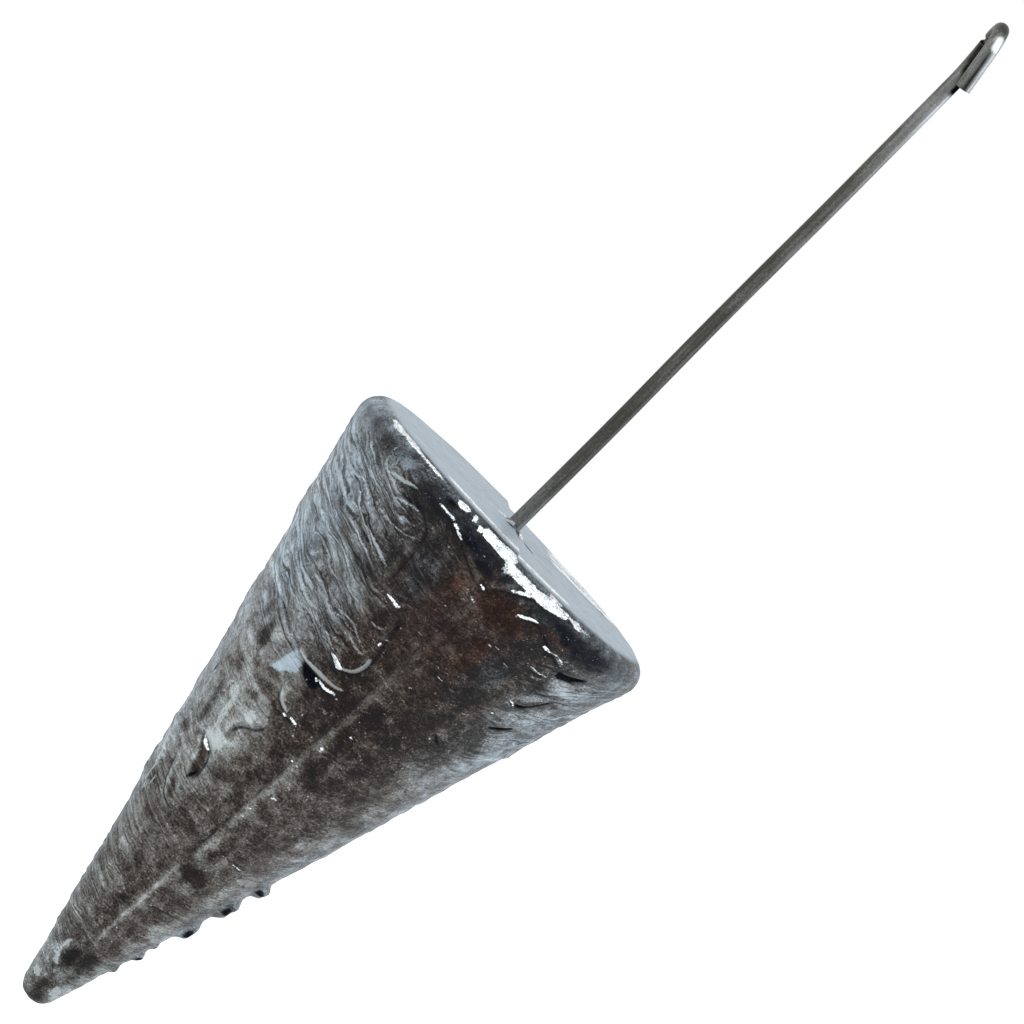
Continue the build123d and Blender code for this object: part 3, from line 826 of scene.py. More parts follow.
def small_glints(skin):
    """Many small painted highlights, bright glints on the dark parts beside both seams."""
    draw = np.random.default_rng(SMALL_GLINT_SEED)
    for _ in range(SMALL_GLINT_COUNT):
        azimuth = SEAM_AZIMUTH + draw.choice([0, 180]) + draw.normal(8, 18)
        depth = draw.uniform(3, 40) if draw.uniform() < 0.8 else draw.uniform(40, 58)
        length = draw.uniform(1, 4)
        slope = draw.normal(0, 0.12)
        middle = (azimuth + length / 2, depth + slope)
        line = [(azimuth, depth), middle, (azimuth + length, depth + slope / 2)]
        skin.stroke(line, 0.1, rise=0.04, bare=draw.uniform(0.5, 0.72), pale=draw.uniform(0.2, 0.7))


def scuffs(skin):
    """Short pale scratches on the dark parts beside both seams, most of them slanting up to the right."""
    draw = np.random.default_rng(SCUFF_SEED)
    for _ in range(SCUFF_COUNT):
        azimuth = SEAM_AZIMUTH + draw.choice([0, 180]) + draw.uniform(-18, 38)
        depth = draw.uniform(3.5, 26)
        length = draw.uniform(1.5, 4.5)
        line = [(azimuth, depth), (azimuth + length, depth + draw.normal(-0.05, 0.06) * length)]
        skin.stroke(line, 0.08, rise=0.02, pale=draw.uniform(0.4, 0.85))


def to_back(line):
    """The same line mirrored to the back seam, a little lower."""
    return [(180 + 2 * SEAM_AZIMUTH - azimuth, depth + BACK_DROP) for azimuth, depth in line]


def mark_regions(skin):
    """Tone, partly tarnish and partly painted reflection: dark along both seams, lighter and cooler on the
    flanks, where wrinkles show, and on the flat top.
    """
    depth = skin.depth
    wobble = skin.cloud(4, 7)
    light = np.zeros(len(depth))
    lines = np.zeros(len(depth))
    cool = np.zeros(len(depth))
    for seam in (SEAM_AZIMUTH, SEAM_AZIMUTH + 180):
        turn = skin.turn_from(seam) + SEAM_AZIMUTH
        share = 1 - smooth(np.abs(turn - SEAM_AZIMUTH), 85, 95)
        left = np.interp(depth, [0, 4, 12, 13, 21, 24, 30, 36, 44, 60],
                         [-34, -19, -17, -13, -11, -12, -5, -7, -24, -22])
        fade = np.interp(depth, [0, 12, 14, 22, 26, 38, 44], [26, 24, 20, 20, 16, 18, 24])
        right = np.interp(depth, [0, 5, 12, 18, 22, 34, 46, 60], [62, 40, 43, 53, 42, 50, 38, 32])
        rise_left = 0.42 * (1 - smooth(turn, left - fade + 6 * wobble, left + 3 + 4 * wobble))
        rise_left *= np.interp(depth, [14, 16, 20, 24, 27, 40], [1, 0.9, 0.95, 0.95, 0.86, 0.84])
        rise_left += 0.14 * smooth(-turn, 52, 72) * (1 - smooth(depth, 17, 21))
        rise_right = 0.44 * smooth(turn, right - 6 + 8 * wobble, right + 18 + 8 * wobble)
        rise_right *= np.interp(depth, [3, 10, 18, 23, 30, 38, 44], [0.85, 0.95, 1, 0.85, 0.65, 0.75, 1])
        lines_left = 1 - smooth(turn, left - 9 + 5 * wobble, left + 2 + 5 * wobble)
        lines_right = 0.6 * smooth(turn, right - 12 + 8 * wobble, right + 12 + 8 * wobble)
        cool_near = 0.45 * smooth(np.abs(turn - 12), 22, 36)
        cool_far = 0.4 * smooth(np.abs(turn - 8), 44, 62)
        light += share * (rise_left + rise_right)
        lines += share * (lines_left + lines_right)
        cool += share * (cool_near + cool_far)
    light *= np.interp(depth, [30, 42, 64], [1, 0.55, 0.4])
    lower = np.interp(depth, [0, 1.2, 3, 6, 20, 28, 36, 60, 64, 66.5, 67.5],
                      [0.14, 0.02, -0.05, 0, 0.02, 0.08, 0.18, 0.2, 0.41, 0.37, 0])
    skin.marks["light"] += skin.side * (0.15 + light + lower) + skin.flat * 0.85
    skin.marks["lines"] += skin.side * lines * np.interp(
        depth, [2, 4, 19, 23, 36, 42, 60, 66], [0, 1, 1, 0.45, 0.3, 0.5, 0.65, 0.3])
    # Painted reflection: the rim, and the sides where they are seen at a glancing angle, get the cooler
    # tint
    cool = np.maximum(cool, 1 - smooth(depth, 2.2, 3))
    cool = cool * np.interp(depth, [0, 18, 27], [1, 1, 0.2])
    far = smooth(np.abs(np.sin(np.radians(skin.azimuth))), 0.8, 0.97)
    cool = np.maximum(cool, 0.6 * far)
    skin.marks["cool"] += np.maximum(cool, 0.25 * smooth(depth, 57, 61))


def mark_rim(skin):
    """The rim in painted reflection: grey at the edge of the flat top, speckled there with painted
    highlights, and painted dark below.
    """
    upper = skin.side * (1 - smooth(skin.depth, 0.6, 1.2))
    shine = np.interp(skin.azimuth, [-90, -60, -40, -20, 0, 10, 28, 45, 70, 90],
                      [-0.08, -0.12, 0.07, 0.08, 0.1, 0.15, 0.15, 0.16, 0, 0.08])
    skin.mark_all("light", upper * shine)
    speckle = np.interp(skin.azimuth, [-75, -60, -35, -10, 6, 30, 48, 60],
                        [0.1, 0.26, 0.28, 0.25, 0.3, 0.34, 0.32, 0.1])
    skin.mark_all("bare", upper * smooth(skin.depth, 0.3, 0.5) * speckle)
    below = skin.side * smooth(skin.depth, 0.9, 1.3) * (1 - smooth(skin.depth, 2, 2.8))
    black = np.interp(skin.azimuth, [-85, -60, -38, -28, -12, -5, 8, 22, 34, 58, 70],
                      [0.26, 0.3, 0.26, 0.28, 0.33, 0.3, 0.2, 0.28, 0.36, 0.36, 0.2])
    skin.mark_all("soot", below * black)


def mark_top(skin):
    """The flat top is rounded off, with a painted highlight along its front edge and painted glare in
    places at the back.
    """
    x, y, _ = skin.places.T
    top = np.nonzero(skin.flat > 0.3)[0]
    front = smooth(-y / np.maximum(skin.reach, 1), 0.2, 0.6)
    skin.rise += 0.1 * skin.flat * (1 - front * smooth(skin.reach, 16.2, 17.8))
    turn = np.degrees(np.arctan2(x, -y))
    edge = np.clip(0.5 + (0.7 - np.abs(skin.reach - 16.4)) / 1.2, 0, 1)
    edge *= np.interp(turn, [-36, -24, 6, 26, 32, 40], [0, 0.95, 0.95, 0.9, 0.6, 0])
    glare = np.clip(1.2 - np.abs(y - 9.5 - 0.1 * (x - 10)) / 1.4, 0, 1)
    glare *= np.interp(x, [4, 6, 13, 16], [0, 0.85, 0.8, 0])
    behind = 0.45 * smooth(y, 8.5, 11) * smooth(x, 1, 5)
    skin.mark("bare", top, np.maximum(np.maximum(edge, glare), behind)[top])
    for spot_x, spot_y, radius, rise, marks in SPOTS:
        skin.spot(spot_x, spot_y, radius, rise, **marks)


def draw_marks(skin, where):
    """What the front and the back share, each line at the place that the function where gives it."""
    for fold in FOLDS:
        line = where(fold["line"])
        # A mirrored line is walked the other way, which keeps the raised side on its left
        skin.fold(**{**fold, "line": line if where is list else line[::-1]})
    for line, width, pale in VEINS:
        skin.stroke(where(line), max(width * 0.75, LEAST_VEIN), rise=VEIN_RISE, pale=0.45 + 0.5 * pale)
    for line, width, depth, dark in CLEFTS:
        skin.stroke(where(line), max(width, LEAST_CLEFT), rise=-depth, soot=0.85 * dark)
    for line, width, bare in GLINTS:
        skin.stroke(where(line), max(width, LEAST_GLINT), rise=GLINT_RISE, bare=bare)
    for patches, name in ((PATCHES, "light"), (HOLLOW_SHADE, "soot"), (STAINS, "rust")):
        for azimuth, depth, half_turn, half_depth, amount in patches:
            skin.patch(*where([(azimuth, depth)])[0], half_turn, half_depth, **{name: amount})


def draw_front(skin):
    """What the back lacks: areas with a clear edge, drops at the sides with painted shade beside the large
    ones, and two cooler places.
    """
    for corners, marks in AREAS:
        skin.area(corners, **marks)
    for azimuth, depth, half_turn, half_depth, rise in DROPLETS:
        skin.patch(azimuth, depth, half_turn, half_depth, rise=rise, soft=0.4 if rise > 0.3 else 0.6)
        # Painted shade beside each large drop
        if rise > 0.5:
            skin.patch(azimuth - 9, depth + 0.1, 3, half_depth * 0.45, soot=0.65)
    skin.patch(-10, 8.3, 8, 4, lines=0.5, cool=0.9)
    skin.patch(30, 10.5, 6, 5, cool=0.9)


def make_uneven(skin):
    """Broad unevenness of the side and the flat top, and the waves in which the lead froze."""
    skin.rise += skin.side * 0.1 * skin.cloud(9, 1)
    skin.rise += skin.side * 0.05 * skin.cloud(2.2, 2)
    skin.rise += skin.marks["lines"] * 0.06 * np.sin(2 * math.pi * skin.flow[:, 1] / WAVE_PITCH)
    skin.rise += skin.flat * 0.04 * skin.cloud(7, 3)


def mark_seams(skin):
    """A thin ridge down the front and the back, with a line of painted shade along its edge in its upper
    part and a pale crest in its lower part."""
    depth = skin.depth
    wander = 0.12 * skin.cloud(5, 8)
    upper = 1 - smooth(depth, 44, 48)
    lower = smooth(depth, 46, 49) * (1 - smooth(depth, 57, 59))
    edge_shade_strength = np.interp(depth, [4, 14, 20, 40], [0.3, 0.3, 0.34, 0.36]) + 0.25 * skin.cloud(1.5, 9)
    for seam in (SEAM_AZIMUTH, SEAM_AZIMUTH + 180):
        turn = skin.turn_from(seam)
        gap = np.radians(turn) * skin.reach
        ridge = skin.side * smooth(depth, 3, 8) * (np.abs(turn) < 60)
        edge_shade = np.exp(-((gap + 0.1 + wander) / 0.2) ** 2) * edge_shade_strength
        broad = 0.12 * np.exp(-((gap - 0.5) / 0.6) ** 2)
        skin.rise += ridge * (broad + lower * 0.12 * np.exp(-(gap / 0.4) ** 2))
        skin.mark_all("soot", ridge * upper * edge_shade)
        skin.mark_all("light", ridge * upper * 0.17 * np.exp(-((gap - 0.4) / 0.4) ** 2))
        skin.mark_all("light", ridge * lower * 0.35 * np.exp(-((gap - 0.05) / 0.3) ** 2))


def shape_casting():
    casting = spin_casting()
    crowd_points(casting.data)
    skin = Skin(casting.data)
    mark_regions(skin)
    mark_rim(skin)
    mark_top(skin)
    fine_folds(skin)
    draw_marks(skin, list)
    draw_marks(skin, to_back)
    draw_front(skin)
    small_glints(skin)
    scuffs(skin)
    make_uneven(skin)
    mark_seams(skin)
    skin.write()
    return casting


# Wire: one curve through the hook in the lead, the stem and the eye, thickened and turned into a mesh

EYE_CORNERS = 8
NICK_HEIGHT = 3.9
NICK_DEPTH = 0.28
LEGS_MIDDLE = -0.9  # between the eye's two legs, from front to back
WIRE_MERGE_DISTANCE = 0.001
WIRE_SHARP_ANGLE = 50

# The stem isn't quite straight: it wanders this far, in this many steps from its foot to its top
STEM_WANDER = 0.06
STEM_STEPS = 10
STEM_FOOT = 4  # above the bottom of the hook
STEM_TOP = -1.6  # below the neck


def wire_route():
    """The curve's control points, with the neck of the eye at the origin and the stem along Z."""
    rise = EYE_HEIGHT - WIRE_RADIUS - EYE_RADIUS
    reach = 2 * WIRE_RADIUS + EYE_GAP
    fall = rise + EYE_TAIL_DROP
    slope = math.tan(math.radians(EYE_LEAN))
    bottom = -STEM_LENGTH - HOOK_DEPTH
    foot = bottom + STEM_FOOT
    route = [(0, HOOK_WIDTH, bottom + HOOK_LEG_HEIGHT), (0, HOOK_WIDTH, foot), (0, HOOK_WIDTH, bottom)]
    route += [(0, 0, bottom), (0, 0, foot)]
    for step in range(1, STEM_STEPS):
        height = foot - (foot - STEM_TOP) * step / STEM_STEPS
        route.append((STEM_WANDER * math.sin(step * 1.7), STEM_WANDER * math.cos(step * 2.3), height))
    route += [(0, 0, STEM_TOP), (0, 0, -0.4)]
    start = math.pi + math.asin(EYE_RADIUS / rise)
    end = math.atan2(reach, fall) - math.asin(EYE_RADIUS / math.hypot(reach, fall))
    turn = (start - end) / EYE_CORNERS
    corner_radius = EYE_RADIUS / math.cos(turn / 2)
    for corner in range(EYE_CORNERS):
        angle = start - turn * (corner + 0.5)
        height = rise + corner_radius * math.sin(angle)
        side = EYE_SHIFT - slope * height + EYE_SPREAD * ((corner + 0.5) / EYE_CORNERS - 0.5)
        route.append((side, -corner_radius * math.cos(angle), height))
    tail_side = EYE_SHIFT + slope * EYE_TAIL_DROP + EYE_SPREAD / 2
    route.append((tail_side, -reach, -EYE_TAIL_DROP))
    return route


def bend_wire():
    place = Matrix.Translation((-STEM_OFFSET, 0, 0))
    place = place @ Matrix.Rotation(math.radians(-STEM_LEAN), 4, "Y")
    place = place @ Matrix.Rotation(math.radians(EYE_TURN), 4, "Z")
    place = place @ Matrix.Translation((0, 0, STEM_LENGTH))
    route = wire_route()
    bpy.ops.object.select_all(action="DESELECT")
    bpy.ops.curve.primitive_nurbs_path_add(location=(0, 0, 0))
    wire = bpy.context.object
    wire.name = "bent_wire"
    curve = wire.data
    curve.splines.clear()
    spline = curve.splines.new("NURBS")
    spline.points.add(len(route) - 1)
    for point, corner in zip(spline.points, route):
        point.co = (*((place @ Vector(corner)) * MM + TOP_MIDDLE), 1)
    spline.order_u = 3
    spline.use_endpoint_u = True
    spline.resolution_u = 24
    curve.bevel_depth = WIRE_RADIUS * MM
    curve.bevel_resolution = 6
    curve.use_fill_caps = True
    bpy.ops.object.convert(target="MESH")
    bpy.ops.object.mode_set(mode="EDIT")
    bpy.ops.mesh.select_all(action="SELECT")
    bpy.ops.mesh.remove_doubles(threshold=WIRE_MERGE_DISTANCE * MM)
    bpy.ops.mesh.normals_make_consistent(inside=False)
    bpy.ops.object.mode_set(mode="OBJECT")
    bpy.ops.object.shade_smooth_by_angle(angle=math.radians(WIRE_SHARP_ANGLE))
    mark_wire(wire.data, place)
    return wire


def mark_wire(mesh, place):
    """Nicks the eye, and stores for its material how light the wire is, with painted light on its right
    side, and where it has painted shade and painted highlights.
    """
    to_wire = np.array(place.inverted())
    places = (read_points(mesh, "co") - np.array(TOP_MIDDLE)) / MM
    normals = read_points(mesh, "normal")
    _, y, z = (places @ to_wire[:3, :3].T + to_wire[:3, 3]).T
    right, back, up = (normals @ to_wire[:3, :3].T).T
    eye = smooth(z, -0.8, 0.8)
    front_leg = (y < LEGS_MIDDLE) & (z < EYE_HEIGHT - 1)
    back_leg = (y > LEGS_MIDDLE) & (z > -2) & (z < EYE_HEIGHT - 1)

    # Light: along the stem, then all round the eye, then on the leg in front. The right side is painted
    # lighter, as lit, the top of the crown painted darker, and the leg in front has a painted highlight on
    # its right
    light = np.interp(z, [-64, -60, -54, -34, -24, -12, -5, -2],
                      [0.5, 0.46, 0.28, 0.3, 0.38, 0.5, 0.72, 0.66])
    light += (1 - eye) * right * np.interp(z, [-60, -30, -15], [0.02, 0.08, 0.2])
    crown = smooth(z, EYE_HEIGHT - 1.6, EYE_HEIGHT - 0.4)
    light += eye * (0.45 + 0.1 * right - 0.25 * crown * smooth(up, 0.2, 0.9) - light)
    in_front = smooth(-y, 0.6, 1.2) * (1 - smooth(z, EYE_HEIGHT - 2.4, EYE_HEIGHT - 0.6))
    light += in_front * (0.52 + 0.36 * smooth(right, 0.2, 0.6) - light)

    # Black: a painted dark reflection down the middle of the leg in front, and painted shadow on the leg
    # behind it and on the stem under the cut end
    core = 0.8 * np.exp(-((right - 0.12) / 0.26) ** 2) * (1 - smooth(z, 2.2, 4.4))
    black = np.where(front_leg, core, 0)
    left_edge = np.interp(z, [-1.5, 1.5], [-0.3, -0.95])
    beside = smooth(right, left_edge, left_edge + 0.35) * smooth(z, -1.8, 0.4) * (1 - smooth(z, 3, 3.9))
    beside *= (1 - smooth(right, 0.5, 0.9)) * smooth(-back, -0.1, 0.4)
    black = np.maximum(black, np.where(back_leg, 0.8 * beside, 0))
    under_end = smooth(z, -3, -2) * (1 - smooth(z, -0.6, 0.4)) * smooth(right, 0, 0.6)
    under_end *= smooth(-back, -0.1, 0.3)
    black = np.maximum(black, np.where(y > LEGS_MIDDLE, under_end, 0))

    # Painted highlight on the right of the eye's front
    bare = np.exp(-((right - 0.3) / 0.45) ** 2) * smooth(z, 3.0, 3.9) * (1 - smooth(z, 4.7, 5.6))
    bare = np.where(y < 0, bare, 0)

    # The mark of the pliers on the left of the back leg, and painted shadow just below it
    nick = np.where(right < 0, np.exp(-((z - NICK_HEIGHT) / 0.22) ** 2), 0) * smooth(y, -0.6, 0.6)
    under_nick = np.exp(-((z - NICK_HEIGHT + 0.4) / 0.2) ** 2)
    black = np.maximum(black, np.where((right < -0.3) & (y > -0.6), under_nick, 0))
    places -= normals * (NICK_DEPTH * nick)[:, None]
    mesh.vertices.foreach_set("co", (places * MM + np.array(TOP_MIDDLE)).ravel())
    store_marks(mesh, {"light": light, "black": black, "bare": bare})
    mesh.update()


# Materials. Object coordinates are in metres, and their patterns are worked out in millimetres.

IN_MM = (1000, 1000, 1000)


def cast_lead():
    """As-cast lead: dull blue-grey metal under dark tarnish. It froze in waves, which left wrinkles,
    painted pale on their backs as highlight and dark in the creases between them as shade. Painted shade
    sits in its clefts, brown stain at its seam, and painted highlights lie on its edges."""
    material, tree = new_material("as_cast_lead")
    place = add(tree, "TexCoord", output="Object")
    in_mm = add(tree, "VectorMath", [place, IN_MM], operation="MULTIPLY")
    light, pale, bare, soot, rust, lines, cool = (
        add(tree, "Attribute", output="Fac", attribute_name=name) for name in MARKS)
    flow = add(tree, "Attribute", output="Vector", attribute_name="flow")
    height = add(tree, "SeparateXYZ", [flow], output=1)
    whereabouts = add(tree, "SeparateXYZ", [flow], output=2)

    # Along the flow: streaks of 10 by 2 mm, strands of 5 by 0.4 mm and dashes of 0.9 by 0.3 mm
    patterns = []
    for scale, detail, roughness, distortion in (
            ((0.1, 0.5, 1), 5, 0.65, 0), ((0.2, 2.4, 1), 4, 0.6, 0.3), ((1.1, 3.0, 1), 3, 0.6, 0.5)):
        stretched = add(tree, "Mapping", {"Vector": flow, "Scale": scale})
        patterns.append(add(tree, "TexNoise", {
            "Vector": stretched, "Scale": 1, "Detail": detail, "Roughness": roughness,
            "Distortion": distortion}))
    streak, strand, dash = patterns

    # Blotches of 2 mm and grain of 0.2 mm, both from about -0.5 to 0.5
    blotch = add(tree, "TexNoise", {"Vector": in_mm, "Scale": 0.5, "Detail": 7, "Roughness": 0.7})
    grain = add(tree, "TexNoise", {"Vector": in_mm, "Scale": 5, "Detail": 4, "Roughness": 0.7})
    blotch = add(tree, "Math", [blotch, 0.5], operation="SUBTRACT")
    grain = add(tree, "Math", [grain, 0.5], operation="SUBTRACT")
    specks = add(tree, "Math", [grain, dash], operation="ADD")

    # Wrinkles: contours of the flow, each with its own strength, painted shade in the crease at its start
    # and a painted highlight on its back
    ragged = add(tree, "Math", [specks, 0.2, height], operation="MULTIPLY_ADD")
    steps = add(tree, "Math", [ragged, WRINKLE_PITCH], operation="DIVIDE")
    within = add(tree, "Math", [steps], operation="FRACT")
    which = add(tree, "Math", [steps], operation="FLOOR")
    strength = add(tree, "TexWhiteNoise", {"W": which}, noise_dimensions="1D")
    shown = add(tree, "MapRange", [streak, 0.42, 0.56])
    strength = add(tree, "Math", [strength, shown], operation="MULTIPLY")
    width = add(tree, "Math", [strength, 0.25, 0.1], operation="MULTIPLY_ADD")
    crease_shade = add(tree, "MapRange", [within, 0, width, -0.65, 0])
    from_back = add(tree, "Math", [within, 0.6, 0.4], operation="COMPARE")
    back = add(tree, "Math", [from_back, 0.16], operation="MULTIPLY")
    wrinkle = add(tree, "Math", [crease_shade, back], operation="ADD")
    wrinkle = add(tree, "Math", [wrinkle, strength], operation="MULTIPLY")
    strands = add(tree, "MapRange", [strand, 0.38, 0.62, -0.24, 0.24])
    wrinkle = add(tree, "Math", [wrinkle, strands], operation="ADD")

    # Dark flecks that gather in patches of 5 mm on the lighter parts
    gather = add(tree, "TexNoise", {"Vector": in_mm, "Scale": 0.22, "Detail": 2})
    gather = add(tree, "MapRange", [gather, 0.46, 0.58, 0.25, 1])
    lighter = add(tree, "MapRange", [light, 0.25, 0.45])
    gather = add(tree, "Math", [gather, lighter], operation="MULTIPLY")
    fleck = add(tree, "MapRange", [dash, 0.5, 0.58, 0, -0.3])
    fleck = add(tree, "Math", [gather, fleck], operation="MULTIPLY")

    # Tone: the tarnish's texture, which is calmer on the flat top, then the wrinkles and the pale places
    grain_share = add(tree, "MapRange", [lines, 0, 1, 1.2, 0.9])
    blotch_share = add(tree, "MapRange", [lines, 0, 1, 1.5, 0.5])
    texture = -0.6
    for pattern, share in ((streak, 0.3), (dash, 0.9), (grain, grain_share), (blotch, blotch_share)):
        texture = add(tree, "Math", [pattern, share, texture], operation="MULTIPLY_ADD")
    texture = add(tree, "Math", [texture, fleck], operation="ADD")
    calm = add(tree, "MapRange", [whereabouts, 15, 35, 1, 0.3])
    tone = add(tree, "Math", [texture, calm, light], operation="MULTIPLY_ADD")
    tone = add(tree, "Math", [wrinkle, lines, tone], operation="MULTIPLY_ADD")
    pale_edge = add(tree, "Math", [grain, 0.6, pale], operation="MULTIPLY_ADD")
    pale_share = add(tree, "MapRange", [pale_edge, 0.34, 0.52, 0, 0.75])
    tone = add(tree, "Mix", {0: pale_share, 2: tone, 3: 0.92})
    warm_skin = add(tree, "ValToRGB", [tone], stops=[
        (0, "171312"), (0.2, "38312d"), (0.42, "625d57"), (0.68, "8f918e"), (1, "c4caca")])
    cool_skin = add(tree, "ValToRGB", [tone], stops=[
        (0, "131416"), (0.2, "313437"), (0.42, "575d60"), (0.68, "86929b"), (1, "bccad5")])
    skin = add(tree, "Mix", {0: cool, 6: warm_skin, 7: cool_skin}, output=2, data_type="RGBA")

    # Stain, painted shade and painted highlights, each with a broken edge, and painted glints on the grain
    broken = add(tree, "Math", [blotch, 1.2, grain], operation="MULTIPLY_ADD")
    rust_edge = add(tree, "Math", [rust, broken], operation="ADD")
    rust_share = add(tree, "MapRange", [rust_edge, 0.2, 1.1, 0, 0.85])
    rust_tone = add(tree, "Math", [broken, 0.5, 0.5], operation="MULTIPLY_ADD")
    rust_color = add(tree, "ValToRGB", [rust_tone], stops=[
        (0.36, "251917"), (0.5, "43302a"), (0.64, "674839")])
    stained = add(tree, "Mix", {0: rust_share, 6: skin, 7: rust_color}, output=2, data_type="RGBA")
    soot_edge = add(tree, "Math", [broken, 0.9, soot], operation="MULTIPLY_ADD")
    soot_share = add(tree, "MapRange", [soot_edge, 0.26, 0.58])
    soot_tone = add(tree, "Math", [broken, 0.5], operation="ADD")
    soot_color = add(tree, "ValToRGB", [soot_tone], stops=[(0.35, "0e0e10"), (0.7, "272933")])
    sooty = add(tree, "Mix", {0: soot_share, 6: stained, 7: soot_color}, output=2, data_type="RGBA")
    bare_edge = add(tree, "Math", [broken, 0.5, bare], operation="MULTIPLY_ADD")
    bare_share = add(tree, "MapRange", [bare_edge, 0.37, 0.5])
    glint = add(tree, "MapRange", [grain, 0.14, 0.2, 0, 0.7])
    glint_place = add(tree, "MapRange", [blotch, -0.02, 0.08])
    glint = add(tree, "Math", [glint, glint_place], operation="MULTIPLY")
    bare_share = add(tree, "Math", [bare_share, glint], operation="MAXIMUM")
    bare_color = add(tree, "ValToRGB", [specks], stops=[
        (0.3, "98a3ab"), (0.46, "dce4e8"), (0.6, "f8fbfc")])
    color = add(tree, "Mix", {0: bare_share, 6: sooty, 7: bare_color}, output=2, data_type="RGBA")

    # Darker tone, stain and painted shade make it less metallic, and the painted highlights are smoother
    # metal
    stain_and_shade = add(tree, "Math", [rust_share, soot_share], operation="MAXIMUM")
    dull = add(tree, "MapRange", [stain_and_shade, 0, 1, 1, 0.1])
    clean = add(tree, "MapRange", [tone, 0.1, 0.8, 0.1, 0.6])
    clean = add(tree, "Math", [clean, dull], operation="MULTIPLY")
    metallic = add(tree, "Math", [clean, bare_share], operation="MAXIMUM")
    rough = add(tree, "Math", [bare_share, -0.5, blotch], operation="MULTIPLY_ADD")
    roughness = add(tree, "MapRange", [rough, -0.5, 0.3, 0.25, 0.55])
    specular = add(tree, "MapRange", [stain_and_shade, 0, 0.8, 0.12, 0])
    relief = add(tree, "Math", [wrinkle, lines], operation="MULTIPLY")
    pits = add(tree, "Math", [grain, blotch], operation="ADD")
    relief = add(tree, "Math", [relief, 3, pits], operation="MULTIPLY_ADD")
    bump = add(tree, "Bump", {"Height": relief, "Strength": 0.9, "Distance": 0.12 * MM})
    shader = add(tree, "BsdfPrincipled", {
        "Base Color": color, "Metallic": metallic, "Roughness": roughness, "Normal": bump,
        "Specular IOR Level": specular})
    add(tree, "OutputMaterial", {"Surface": shader})
    return material


def drawn_steel():
    """Drawn steel wire, dull and olive-grey, with marks along its length, black where painted shade and a
    painted dark reflection lie, and a painted highlight on the eye."""
    material, tree = new_material("drawn_steel_wire")
    place = add(tree, "TexCoord", output="Object")
    in_mm = add(tree, "VectorMath", [place, IN_MM], operation="MULTIPLY")
    light, black, bare = (
        add(tree, "Attribute", output="Fac", attribute_name=name) for name in ("light", "black", "bare"))

    # Scratches of 8 by 0.3 mm along the wire, clouds of 5 mm and grain of 0.25 mm
    lengthwise = add(tree, "Mapping", {"Vector": in_mm, "Scale": (3, 3, 0.12)})
    scratch = add(tree, "TexNoise", {"Vector": lengthwise, "Scale": 1, "Detail": 4})
    cloud = add(tree, "TexNoise", {"Vector": in_mm, "Scale": 0.2, "Detail": 3})
    grain = add(tree, "TexNoise", {"Vector": in_mm, "Scale": 4, "Detail": 4, "Roughness": 0.7})
    texture = -0.7
    for pattern, share in ((cloud, 0.3), (scratch, 0.5), (grain, 0.6)):
        texture = add(tree, "Math", [pattern, share, texture], operation="MULTIPLY_ADD")
    tone = add(tree, "Math", [texture, light], operation="ADD")
    steel = add(tree, "ValToRGB", [tone], stops=[
        (0, "1f1e1a"), (0.35, "4c4b45"), (0.7, "888886"), (1, "c2c6ca")])
    # Painted shade and dark reflection in near black, and the painted highlight in near white
    black_core = add(tree, "Math", [black, 0.25], operation="SUBTRACT")
    black_edge = add(tree, "Math", [grain, 0.5, black_core], operation="MULTIPLY_ADD")
    black_share = add(tree, "MapRange", [black_edge, 0.05, 0.85])
    sooty = add(tree, "Mix", {0: black_share, 6: steel, 7: linear("0f0e0a")}, output=2, data_type="RGBA")
    bare_share = add(tree, "MapRange", [bare, 0.2, 0.7])
    color = add(tree, "Mix", {0: bare_share, 6: sooty, 7: linear("eef4f4")}, output=2, data_type="RGBA")
    clean = add(tree, "MapRange", [black_share, 0, 1, 0.3, 0])
    metallic = add(tree, "Math", [clean, bare_share], operation="MAXIMUM")
    roughness = add(tree, "MapRange", [grain, 0.3, 0.7, 0.35, 0.55])
    specular = add(tree, "MapRange", [black_share, 0, 1, 0.12, 0])
    bump = add(tree, "Bump", {"Height": scratch, "Strength": 0.3, "Distance": 0.05 * MM})
    shader = add(tree, "BsdfPrincipled", {
        "Base Color": color, "Metallic": metallic, "Roughness": roughness, "Normal": bump,
        "Specular IOR Level": specular})
    add(tree, "OutputMaterial", {"Surface": shader})
    return material


lead = shape_casting()
lead.data.materials.append(cast_lead())
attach(lead, "root")
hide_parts("lead_cone")

wire = bend_wire()
wire.data.materials.append(drawn_steel())
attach(wire, "root")
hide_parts("wire_stem")


# Studio: white all round, a pale floor under the point, soft lamps from the upper left and the right

FLOOR_SIZE = 8.0
FLOOR_DROP = 12
FLOOR_GLOW = 0.75
AMBIENT_STRENGTH = 0.38
LAMP_SIZE = 0.30
MIDDLE = (cad_low + cad_high) / 2


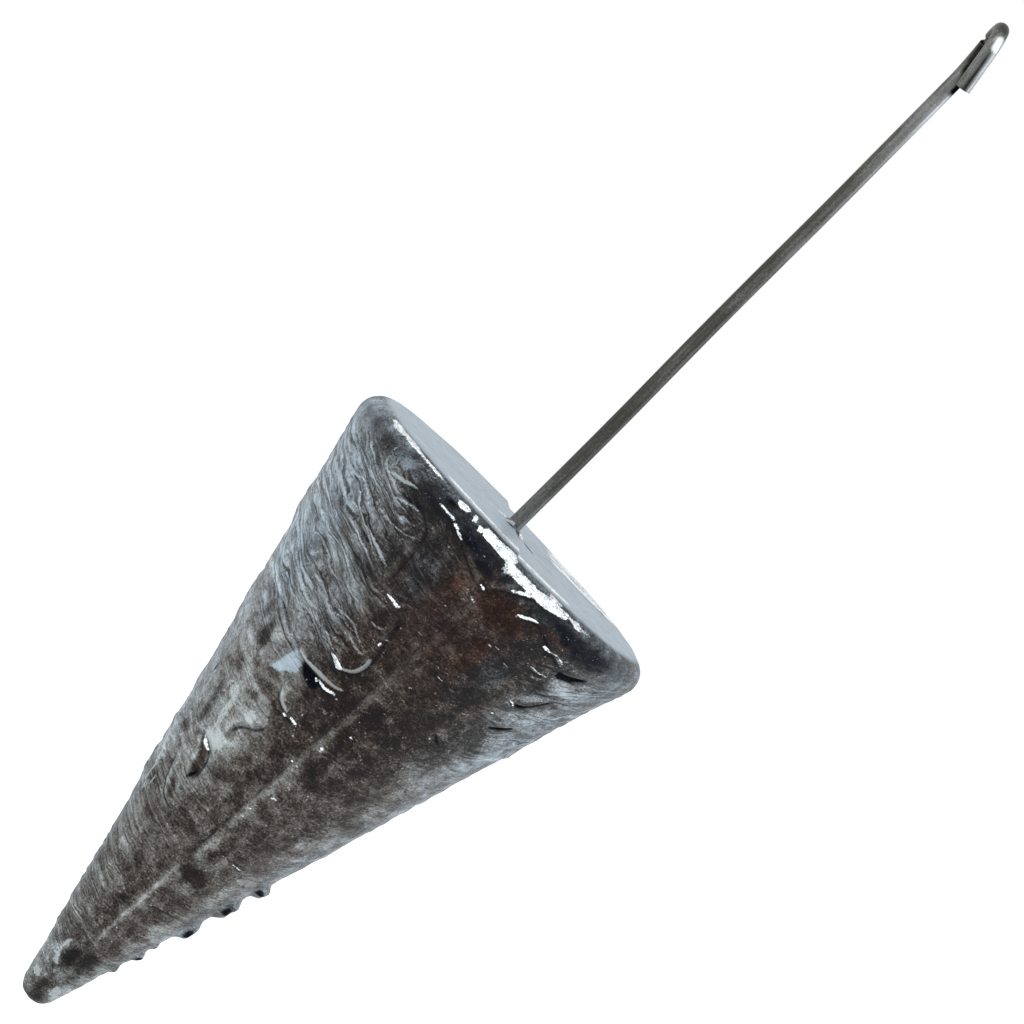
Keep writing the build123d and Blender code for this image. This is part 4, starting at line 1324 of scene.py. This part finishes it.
def seen_by(tree, *kinds):
    """1 for rays of these kinds, which show the white background, and 0 for those that light the part."""
    seen = add(tree, "LightPath", output=kinds[0])
    for kind in kinds[1:]:
        seen = add(tree, "Math", [seen, add(tree, "LightPath", output=kind)], operation="MAXIMUM")
    return seen


def set_world():
    world = bpy.data.worlds.new("studio")
    bpy.context.scene.world = world
    world.use_nodes = True
    tree = world.node_tree
    tree.nodes.clear()
    seen = seen_by(tree, "Is Camera Ray", "Is Glossy Ray", "Is Transmission Ray")
    ambient = add(tree, "Background", {"Color": linear("e4edf6"), "Strength": AMBIENT_STRENGTH})
    white = add(tree, "Background", {"Color": (1, 1, 1, 1), "Strength": 1})
    add(tree, "OutputWorld", {"Surface": add(tree, "MixShader", [seen, ambient, white])})


def add_lamp(name, offset, power, color):
    """A round lamp at that offset from the part's middle, in metres, which it faces."""
    data = bpy.data.lights.new(name, "AREA")
    data.shape = "DISK"
    data.size = LAMP_SIZE
    data.energy = power
    data.color = linear(color)[:3]
    lamp = bpy.data.objects.new(name, data)
    bpy.context.scene.collection.objects.link(lamp)
    place = MIDDLE + Vector(offset)
    lamp.location = place
    lamp.rotation_euler = (MIDDLE - place).to_track_quat("-Z", "Y").to_euler()


def add_floor():
    bpy.ops.object.select_all(action="DESELECT")
    bpy.ops.mesh.primitive_plane_add(size=FLOOR_SIZE, location=(0, 0, lead_low.z - FLOOR_DROP * MM))
    floor = bpy.context.object
    floor.name = "floor"
    material, tree = new_material("pale_floor")
    seen = seen_by(tree, "Is Camera Ray", "Is Glossy Ray")
    paper = add(tree, "BsdfDiffuse", {"Color": linear("f2f2f2")})
    glow = add(tree, "Emission", {"Color": (1, 1, 1, 1), "Strength": FLOOR_GLOW})
    both = add(tree, "AddShader", [paper, glow])
    add(tree, "OutputMaterial", {"Surface": add(tree, "MixShader", [seen, paper, both])})
    floor.data.materials.append(material)


set_world()
add_floor()
add_lamp("key", (-0.35, -0.30, 0.45), 2.8, "fbfdff")
add_lamp("side", (0.55, 0.05, 0.10), 1.3, "f7fbff")

bpy.context.scene.view_settings.view_transform = "Standard"
